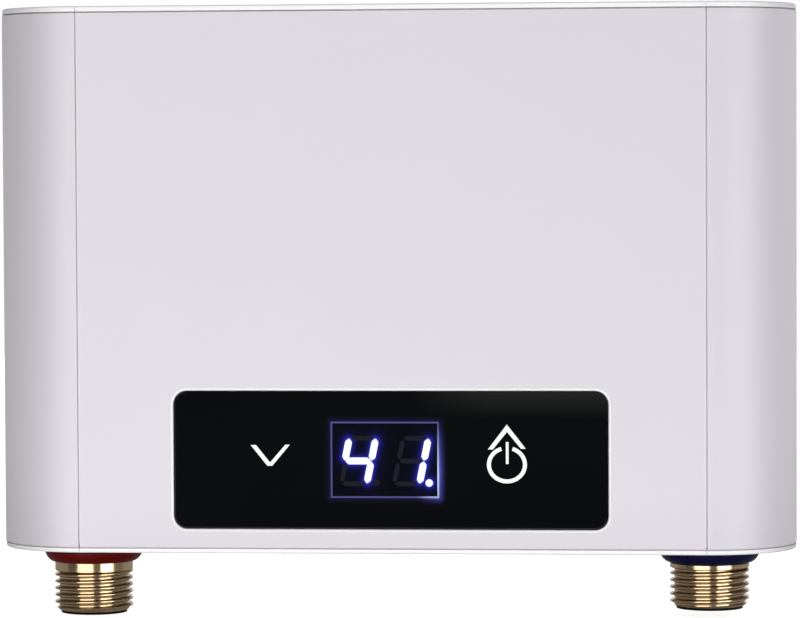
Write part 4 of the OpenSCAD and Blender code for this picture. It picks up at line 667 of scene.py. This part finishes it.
between(tree, nearness(tree, 13.2, LIT_POINT.z + 2.5, 13), 0.06, 1.0, spill.inputs[1], 0, 1)
two_tones(tree, spill.outputs[0], (0, 0, 0, 1), shown(92, 94, 200), shader.inputs["Emission Color"])
shader.inputs["Emission Strength"].default_value = 1.0
streaks = grain(tree, 24, (0.5, 1, 1.4))
two_tones(tree, streaks, shown(2, 3, 6), shown(13, 14, 17), shader.inputs["Base Color"])
between(tree, grain(tree, 45), 0.05, 0.09, shader.inputs["Roughness"])
shader.inputs["Specular IOR Level"].default_value = 0.01
# The glass is blended lighter towards its top right corner.
split = tree.nodes.new("ShaderNodeSeparateXYZ")
top_right_lightening = tree.nodes.new("ShaderNodeMath")
top_right_lightening.operation = "MULTIPLY"
tree.links.new(place.outputs["Object"], split.inputs["Vector"])
between(tree, split.outputs["Z"], 0, 1, top_right_lightening.inputs[0], -36 * mm, -29.5 * mm)
between(tree, split.outputs["X"], 0, 1, top_right_lightening.inputs[1], 6 * mm, 26 * mm)
blend_in(display_black, top_right_lightening.outputs[0], shown(34, 36, 33))
# Painted highlight: the front bevel on the left and at the bottom of the glass is blended to a lighter grey.
blend_where(display_black, "ground", shown(50, 51, 54))
mark(glass, "ground", lambda at, facing: -0.99 < facing.y < -0.8 and min(facing.x, facing.z) < -0.05)
settle(glass, "display_glass_pane", display_black, "display_black", "display_glass")

# Key symbols: a down chevron and a power sign with an arrow over it, printed on the glass in white.
# Each is a flat shape of ink that stands a few hundredths of a millimetre proud, lit from behind.
INK_Y, INK_DEEP = GLASS_Y - 0.03, 0.2
down_x, down_z = -31.4, -45.8
chevron_points = (
    (-5.15, 2.7), (-3.75, 2.7), (-0.1, -1.85), (3.95, 2.8), (5.1, 2.8), (0.5, -2.7), (-0.8, -2.7)
)
chevron = drawn_shape([(down_x + x, down_z + z) for x, z in chevron_points], INK_Y, INK_DEEP)
power_x, ring_z, tip_z = 30.36, -48.1, -37.65
arrow_points = ((0, 0), (4.9, -6.3), (3.65, -6.3), (0.05, -1.9), (-3.65, -6.5), (-4.95, -6.5))
arrow = drawn_shape([(power_x + x, tip_z + z) for x, z in arrow_points], INK_Y, INK_DEEP)
stroke_points = ((-0.26, 0.2), (0.44, 0.2), (0.44, 5.9), (-0.26, 5.9))
stroke = drawn_shape([(power_x + x, ring_z + z) for x, z in stroke_points], INK_Y, INK_DEEP)
ring_points = [(power_x + r * sin(radians(a)), ring_z + (r - 0.35) * cos(radians(a)))
               for r, turn in ((5.2, 1), (4.16, -1)) for a in range(18, 343, 3)[::turn]]
ring = drawn_shape(ring_points, INK_Y, INK_DEEP)
icons = put_together(chevron, arrow, stroke, ring)
settle(icons, "key_symbols_ink", lit_white, "lit_white", "touch_icons")

# End caps: thin moulded ABS plates that close the casing above and below, with a rounded outer edge.
# A plug on each fits into the shells, and four countersunk screws hold it to their channels.
CASING_END, MIDDLE_Y, CAP_INSET, PLUG_INSET = 71.5, FRONT_Y / 2, 0.15, 4.5
PORT_X, GROMMET_AT = 82.5, (30, -17)


def end_cap(outer_z, inner_z, facing, groove):
    """A cap with the casing's outline: a rounded edge, a stepped plug, screw holes and marks at the seams."""
    clear()
    bpy.ops.mesh.primitive_plane_add(size=1, location=(0, MIDDLE_Y * mm, inner_z * mm))
    width, depth = 2 * (HALF_W - CAP_INSET), -FRONT_Y - 2 * CAP_INSET
    front_r, rear_r = CORNER_R - CAP_INSET, REAR_R - CAP_INSET
    piece = set_in_place(bpy.context.object, (width * mm, depth * mm, 1))
    pick(piece, "VERT", lambda at, corner: at.y < MIDDLE_Y)
    bpy.ops.mesh.bevel(offset=front_r * mm, segments=40, affect="VERTICES", clamp_overlap=False)
    done()
    pick(piece, "VERT", lambda at, corner: at.y > -1)
    bpy.ops.mesh.bevel(offset=rear_r * mm, segments=12, affect="VERTICES", clamp_overlap=False)
    bpy.ops.mesh.select_all(action="SELECT")
    bpy.ops.mesh.extrude_region_move(TRANSFORM_OT_translate={"value": (0, 0, (outer_z - inner_z) * mm)})
    bpy.ops.mesh.select_all(action="SELECT")
    bpy.ops.mesh.normals_make_consistent(inside=False)
    done()
    pick(piece, "EDGE", lambda at, edge: all(abs(v.co.z / mm - outer_z) < 0.01 for v in edge.verts))
    bpy.ops.mesh.bevel(offset=0.5 * mm, segments=4, affect="EDGES")
    done()
    pick(piece, "FACE", lambda at, face: abs(at.z - inner_z) < 0.01 and face.calc_area() > 0.001)
    inward = -1 if outer_z > 0 else 1
    for inside, rise in ((groove, 0.33), (PLUG_INSET - groove, 1.87)):
        bpy.ops.mesh.inset(thickness=inside * mm)
        bpy.ops.mesh.extrude_region_move(TRANSFORM_OT_translate={"value": (0, 0, inward * rise * mm)})
    done()
    holes = [cut for side in (-1, 1) for x, y in CAP_SCREWS
             for cut in screw_hole((side * x, y, outer_z), facing, 6)]
    low, high = sorted((outer_z - inward, inner_z))
    marks = []
    for x in (-SEAM_X, SEAM_X):
        marks.append(block((x - SEAM_GAP, FRONT_Y - 1, low), (x + SEAM_GAP, FRONT_Y + 0.7, high)))
    shape_with(piece, "DIFFERENCE", *holes, *marks)
    return piece


top = end_cap(CASING_END, 70.1, LEVEL, 1.4)
# The front of the top cap's rounded edge gets the painted white highlight, fading as it turns up.
mark(
    top, "polished",
    lambda at, facing: (at.z > 70.12 and facing.z < 0.75) * min(max(-1.6 * facing.y - 0.5, 0), 1),
)
settle(top, "top_cap_plate", casing_white, "casing_white", "top_cap")
bottom = end_cap(-CASING_END, -70.37, DOWN, 0.8)
for x, y, radius in ((-PORT_X, MIDDLE_Y, 10.4), (PORT_X, MIDDLE_Y, 10.4), (*GROMMET_AT, 6.5)):
    shape_with(bottom, "DIFFERENCE", rod((x, y, -75), 10, radius, sides=64))
# The front of the bottom cap's rounded edge gets the painted white highlight, fading as it turns down.
mark(
    bottom, "polished",
    lambda at, facing: (at.z < -70.38 and facing.z > -0.97) * min(max(-2 * facing.y - 0.5, 0), 1),
)
settle(bottom, "bottom_cap_plate", casing_white, "casing_white", "bottom_cap")

# Water connections: two turned brass fittings with a right-hand half inch pipe thread on the outside.
# The thread is cut on a lathe, and the neck above it keeps the fine rings of the turning tool.
# Inside the casing, a flange with two screwed ears holds each of them to the bottom cap.
PITCH, CREST_R, ROOT_R, BORE_R = 1.814, 10.4775, 9.3155, 7
FLANGE_LOW, FLANGE_TOP, EAR_OFF, EAR_R = -67.9, -64.9, 15, 4


def turned(points, at, steps=96):
    """A piece turned on a lathe: its half section, as radius and height, swept once round its own axis."""
    piece = drawn_line([(radius, 0, height) for radius, height in [*points, points[0]]])
    bpy.ops.mesh.remove_doubles(threshold=0.0005 * mm)
    bpy.ops.mesh.spin(steps=steps, angle=radians(360), center=(0, 0, 0), axis=(0, 0, 1))
    bpy.ops.mesh.select_all(action="SELECT")
    bpy.ops.mesh.remove_doubles(threshold=0.0005 * mm)
    bpy.ops.mesh.normals_make_consistent(inside=False)
    done()
    piece.location = [c * mm for c in at]
    return set_in_place(piece)


def threaded_bar(at, top_z, end_z, left_crest):
    """A bar with a true helical thread, which has a crest at one height on its left, trimmed at both ends."""
    half = [(0.0, 0.0), (0.24, 0.012), (0.35, 0.07), (0.42, 0.22), (0.56, 0.92), (0.63, 1.09), (0.73, 1.15)]
    section = half + [(PITCH / 2, CREST_R - ROOT_R)] + [(PITCH - along, rise) for along, rise in half[::-1]]
    low = left_crest - PITCH * ceil((left_crest - end_z) / PITCH + 2)
    turns = int((top_z - low) / PITCH) + 2
    piece = drawn_line([(ROOT_R + rise, 0, low + along) for along, rise in section])
    done()
    finish_off(piece, "SCREW", axis="Z", angle=radians(360), screw_offset=PITCH * mm, iterations=turns,
               steps=96, render_steps=96, use_merge_vertices=True)
    pick(piece, "VERT", lambda at, corner: True)
    bpy.ops.mesh.remove_doubles(threshold=0.001 * mm)
    for z, upwards in ((top_z, 1), (end_z, -1)):
        bpy.ops.mesh.select_all(action="SELECT")
        bpy.ops.mesh.bisect(
            plane_co=(0, 0, z * mm), plane_no=(0, 0, upwards), use_fill=True, clear_outer=True,
            threshold=0.0001 * mm,
        )
    bpy.ops.mesh.select_all(action="SELECT")
    bpy.ops.mesh.normals_make_consistent(inside=False)
    done()
    piece.location = [c * mm for c in at]
    return set_in_place(piece)


def water_fitting(x, first_crest, end_z, stub_top, left_crest, collar):
    """One connection: flange and stub inside the casing, neck, thread and a chamfered open end."""
    foot = (x, MIDDLE_Y, 0)
    neck = turned([
        (BORE_R, stub_top), (9.5, stub_top), (9.5, FLANGE_TOP), (12.5, FLANGE_TOP), (12.5, FLANGE_LOW),
        (10.2, FLANGE_LOW), (10.2, -75.7), (collar, -75.9), (collar, first_crest + 0.15),
        (collar - 0.25, first_crest - 0.1), (BORE_R, first_crest - 0.1),
    ], foot)
    screw = threaded_bar(foot, first_crest + 0.1, end_z, left_crest)
    shape_with(screw, "INTERSECT", turned([
        (BORE_R, first_crest + 1), (11, first_crest + 1), (11, end_z + 1.75), (9.27, end_z + 0.02),
        (7.5, end_z + 0.02), (BORE_R, end_z + 0.6),
    ], foot))
    ears = []
    for side in (-1, 1):
        near, far = sorted((x + side * 8, x + side * EAR_OFF))
        arm = block((near, MIDDLE_Y - EAR_R, FLANGE_LOW), (far, MIDDLE_Y + EAR_R, FLANGE_TOP))
        ear_x = x + side * EAR_OFF
        shape_with(arm, "UNION", rod((ear_x, MIDDLE_Y, FLANGE_LOW), FLANGE_TOP - FLANGE_LOW, EAR_R))
        shape_with(arm, "DIFFERENCE", rod((ear_x, MIDDLE_Y, -70), 8, SCREW_R, sides=24))
        ears.append(arm)
    piece = put_together(neck, screw, *ears)
    # The steep flanks of the thread are marked for a painted shade.
    mark(piece, "painted_thread_shade", lambda at, facing: end_z + 1.1 < at.z < first_crest - 0.05
         and 9.6 < hypot(at.x - x, at.y - MIDDLE_Y) < 10.15)
    return piece


fitting_brass, tree, shader = new_finish("fitting_brass")
turning = grain(tree, 900, (0.02, 0.02, 4), detail=3.0)
two_tones(tree, grain(tree, 90), shown(206, 180, 142), shown(216, 190, 152), shader.inputs["Base Color"])
between(tree, turning, 0.13, 0.2, shader.inputs["Roughness"])
relief(tree, turning, 0.002 * mm, shader)
shader.inputs["Metallic"].default_value = 1.0
# Painted shade: the thread's flanks are blended to a dark brass brown, as the shade in its grooves.
blend_where(fitting_brass, "painted_thread_shade", shown(118, 90, 58))
outlet = water_fitting(-PORT_X, -78.55, -89.2, -49.9, -79.74, 10.42)
settle(outlet, "hot_outlet_turning", fitting_brass, "fitting_brass", "outlet_fitting", angle=40)
inlet = water_fitting(PORT_X, -77.05, -87.2, -55.9, -76.85, 10.45)
settle(inlet, "cold_inlet_turning", fitting_brass, "fitting_brass", "inlet_fitting", angle=40)

# Colour rings: red on the hot outlet and blue on the cold inlet, pushed over the necks up to the casing.
# Satin moulded nylon with a flared upper edge and a bulging side.
RING_BORE_R = 10.46


def colour_ring(x, height, finish, name, slot, node):
    """One ring with its top band under the casing painted dark as the casing's shadow, and a bulging side
    down to its height.
    """
    under, low = -CASING_END, -CASING_END - height
    side = [(10.9 + 2.38 * (1 - share ** 2.8) ** 0.7, under - share * height)
            for share in (0.12, 0.22, 0.36, 0.45, 0.55, 0.65, 0.75, 0.84, 0.91, 0.96)]
    ring = turned([
        (RING_BORE_R, under), (12.9, under), (13.2, under - 0.06), (13.28, under - 0.32), *side,
        (11.05, low + 0.07), (10.85, low), (RING_BORE_R, low),
    ], (x, MIDDLE_Y, 0))
    # Painted shadow: the ring's top band under the casing is blended nearly black.
    blend_where(finish, "lip", shown(16, 10, 14))
    mark(ring, "lip", lambda at, facing: at.z > under - 1.35)
    settle(ring, name, finish, slot, node)


ring_red = moulded("ring_red", shown(106, 9, 8), 0.4, gloss=0.1)
colour_ring(-PORT_X, 4.6, ring_red, "hot_ring_moulding", "ring_red", "hot_ring")
ring_blue = moulded("ring_blue", shown(10, 11, 58), 0.4, gloss=0.1)
colour_ring(PORT_X, 4.15, ring_blue, "cold_ring_moulding", "ring_blue", "cold_ring")

# Studio: a pale floor under the heater, which looks white to the camera and keeps the soft shadow.
# It has one side only, so that the heater's underside is in sight from below.
clear()
bpy.ops.mesh.primitive_plane_add(size=1, location=(0, 0.63, -89.92 * mm))
floor = set_in_place(bpy.context.object, (2.4, 1.4, 1))
floor.name = "studio_floor"
floor_white, tree, shader = new_finish("floor_white")
shader.inputs["Roughness"].default_value = 0.9
shader.inputs["Specular IOR Level"].default_value = 0.0
two_tones(tree, grain(tree, 3), (0.48, 0.48, 0.48, 1), (0.50, 0.50, 0.50, 1), shader.inputs["Base Color"])
rays = tree.nodes.new("ShaderNodeLightPath")
seen = tree.nodes.new("ShaderNodeMath")
seen.operation = "MAXIMUM"
clear_rays = tree.nodes.new("ShaderNodeMath")
clear_rays.operation = "MAXIMUM"
lift = tree.nodes.new("ShaderNodeMath")
lift.operation = "MULTIPLY"
place = tree.nodes.new("ShaderNodeTexCoord")
split = tree.nodes.new("ShaderNodeSeparateXYZ")
tree.links.new(place.outputs["Object"], split.inputs["Vector"])
between(tree, split.outputs["Y"], 1.0, 0.88, lift.inputs[1], -0.065, -0.04)
tree.links.new(rays.outputs["Is Camera Ray"], seen.inputs[0])
between(tree, rays.outputs["Is Glossy Ray"], 0, 0.06, seen.inputs[1], 0, 1)
tree.links.new(seen.outputs[0], clear_rays.inputs[0])
tree.links.new(rays.outputs["Is Transmission Ray"], clear_rays.inputs[1])
tree.links.new(clear_rays.outputs[0], lift.inputs[0])
tree.links.new(lift.outputs[0], shader.inputs["Emission Strength"])
shader.inputs["Emission Color"].default_value = (1, 1, 1, 1)
sides = tree.nodes.new("ShaderNodeNewGeometry")
see_through = tree.nodes.new("ShaderNodeBsdfTransparent")
one_sided = tree.nodes.new("ShaderNodeMixShader")
tree.links.new(sides.outputs["Backfacing"], one_sided.inputs[0])
tree.links.new(shader.outputs["BSDF"], one_sided.inputs[1])
tree.links.new(see_through.outputs["BSDF"], one_sided.inputs[2])
tree.links.new(one_sided.outputs["Shader"], tree.nodes["Material Output"].inputs["Surface"])
floor.data.materials.append(floor_white)

# Studio light: an even white room with a broad softbox on the left of the camera and a second on its right.
# The room is white to the camera and behind the heater, and dim in front, where the softboxes stand.
# Rims, a fill and a ceiling light the other sides, and two tall strips show only as a shine.
room = bpy.data.worlds.new("studio_room")
bpy.context.scene.world = room
room.use_nodes = True
tree = room.node_tree
backdrop = tree.nodes["Background"]
backdrop.inputs["Color"].default_value = (1, 1, 1, 1)
rays = tree.nodes.new("ShaderNodeLightPath")
way = tree.nodes.new("ShaderNodeTexCoord")
split = tree.nodes.new("ShaderNodeSeparateXYZ")
behind = tree.nodes.new("ShaderNodeMapRange")
behind.inputs["From Min"].default_value = 0.75
behind.inputs["From Max"].default_value = 1.0
behind.inputs["To Min"].default_value = 0.1
seen = tree.nodes.new("ShaderNodeMath")
seen.operation = "MAXIMUM"
glossy = tree.nodes.new("ShaderNodeMix")
dimmer = tree.nodes.new("ShaderNodeMath")
dimmer.operation = "MULTIPLY"
between(tree, split.outputs["X"], 0.21, 0.36, dimmer.inputs[0], -1, 1)
between(tree, split.outputs["Z"], 1.0, 0.35, dimmer.inputs[1], 0.1, 0.8)
tree.links.new(dimmer.outputs[0], glossy.inputs[2])
plain = tree.nodes.new("ShaderNodeMix")
plain.inputs[3].default_value = 1.0
for source, target in (
    (way.outputs["Generated"], split.inputs["Vector"]), (split.outputs["Y"], behind.inputs["Value"]),
    (rays.outputs["Is Camera Ray"], seen.inputs[0]), (rays.outputs["Is Transmission Ray"], seen.inputs[1]),
    (rays.outputs["Is Glossy Ray"], glossy.inputs[0]), (behind.outputs["Result"], glossy.inputs[3]),
    (seen.outputs[0], plain.inputs[0]), (glossy.outputs[0], plain.inputs[2]),
    (plain.outputs[0], backdrop.inputs["Strength"]),
):
    tree.links.new(source, target)


def softbox(name, azimuth, elevation, distance, width, height, power):
    """A rectangular light that stands round the heater and faces its middle."""
    clear()
    a, e = radians(azimuth), radians(elevation)
    stand = Vector((sin(a) * cos(e), -cos(a) * cos(e), sin(e))) * distance
    bpy.ops.object.light_add(type="AREA", location=stand)
    lamp = bpy.context.object
    lamp.name = name
    lamp.rotation_euler = stand.to_track_quat("Z", "Y").to_euler()
    lamp.data.shape = "RECTANGLE"
    lamp.data.size, lamp.data.size_y = width, height
    lamp.data.energy = power
    lamp.visible_camera = False
    return lamp


softbox("left_softbox", -19, 3, 1.5, 1.25, 1.0, 8.9)
softbox("right_softbox", 48, 3, 1.5, 1.05, 1.0, 6.4)
table_bounce = softbox("table_bounce", 0, -42, 0.4, 0.6, 0.25, 0.48)
right_rim = softbox("right_rim", 130, 3, 1.2, 0.5, 0.8, 6.2)
left_rim = softbox("left_rim", -130, 3, 1.2, 0.5, 0.8, 4.2)
back_fill = softbox("back_fill", 180, 3, 1.5, 1.25, 1.0, 8)
ceiling = softbox("ceiling", 180, 72, 1.2, 1.2, 0.9, 4.5)
for lamp in (table_bounce, right_rim, left_rim, back_fill, ceiling):
    lamp.visible_glossy = False
left_shine = softbox("left_shine", -19, 3, 1.5, 1.25, 3.0, 48)
right_shine = softbox("right_shine", 45, 3, 1.5, 1.05, 3.0, 20)
for lamp in (left_shine, right_shine):
    lamp.visible_diffuse = False

# Camera: a long lens on a full frame, a metre in front of the heater.
# It stands a little to the right and just above the middle, and looks slightly down.
camera_place, pan, tilt, roll = (0.089951, -1.036788, 0.030009), 5.0619, 87.8188, -0.267
clear()
bpy.ops.object.camera_add(location=(0, 0, 0))
camera = bpy.context.object
camera.data.lens = 171.54
camera.data.sensor_width = 36
camera.matrix_world = (
    Matrix.Translation(camera_place)
    @ Matrix.Rotation(radians(pan), 4, "Z")
    @ Matrix.Rotation(radians(tilt), 4, "X")
    @ Matrix.Rotation(radians(roll), 4, "Z")
)
bpy.context.scene.camera = camera
bpy.context.scene.view_settings.view_transform = "Standard"
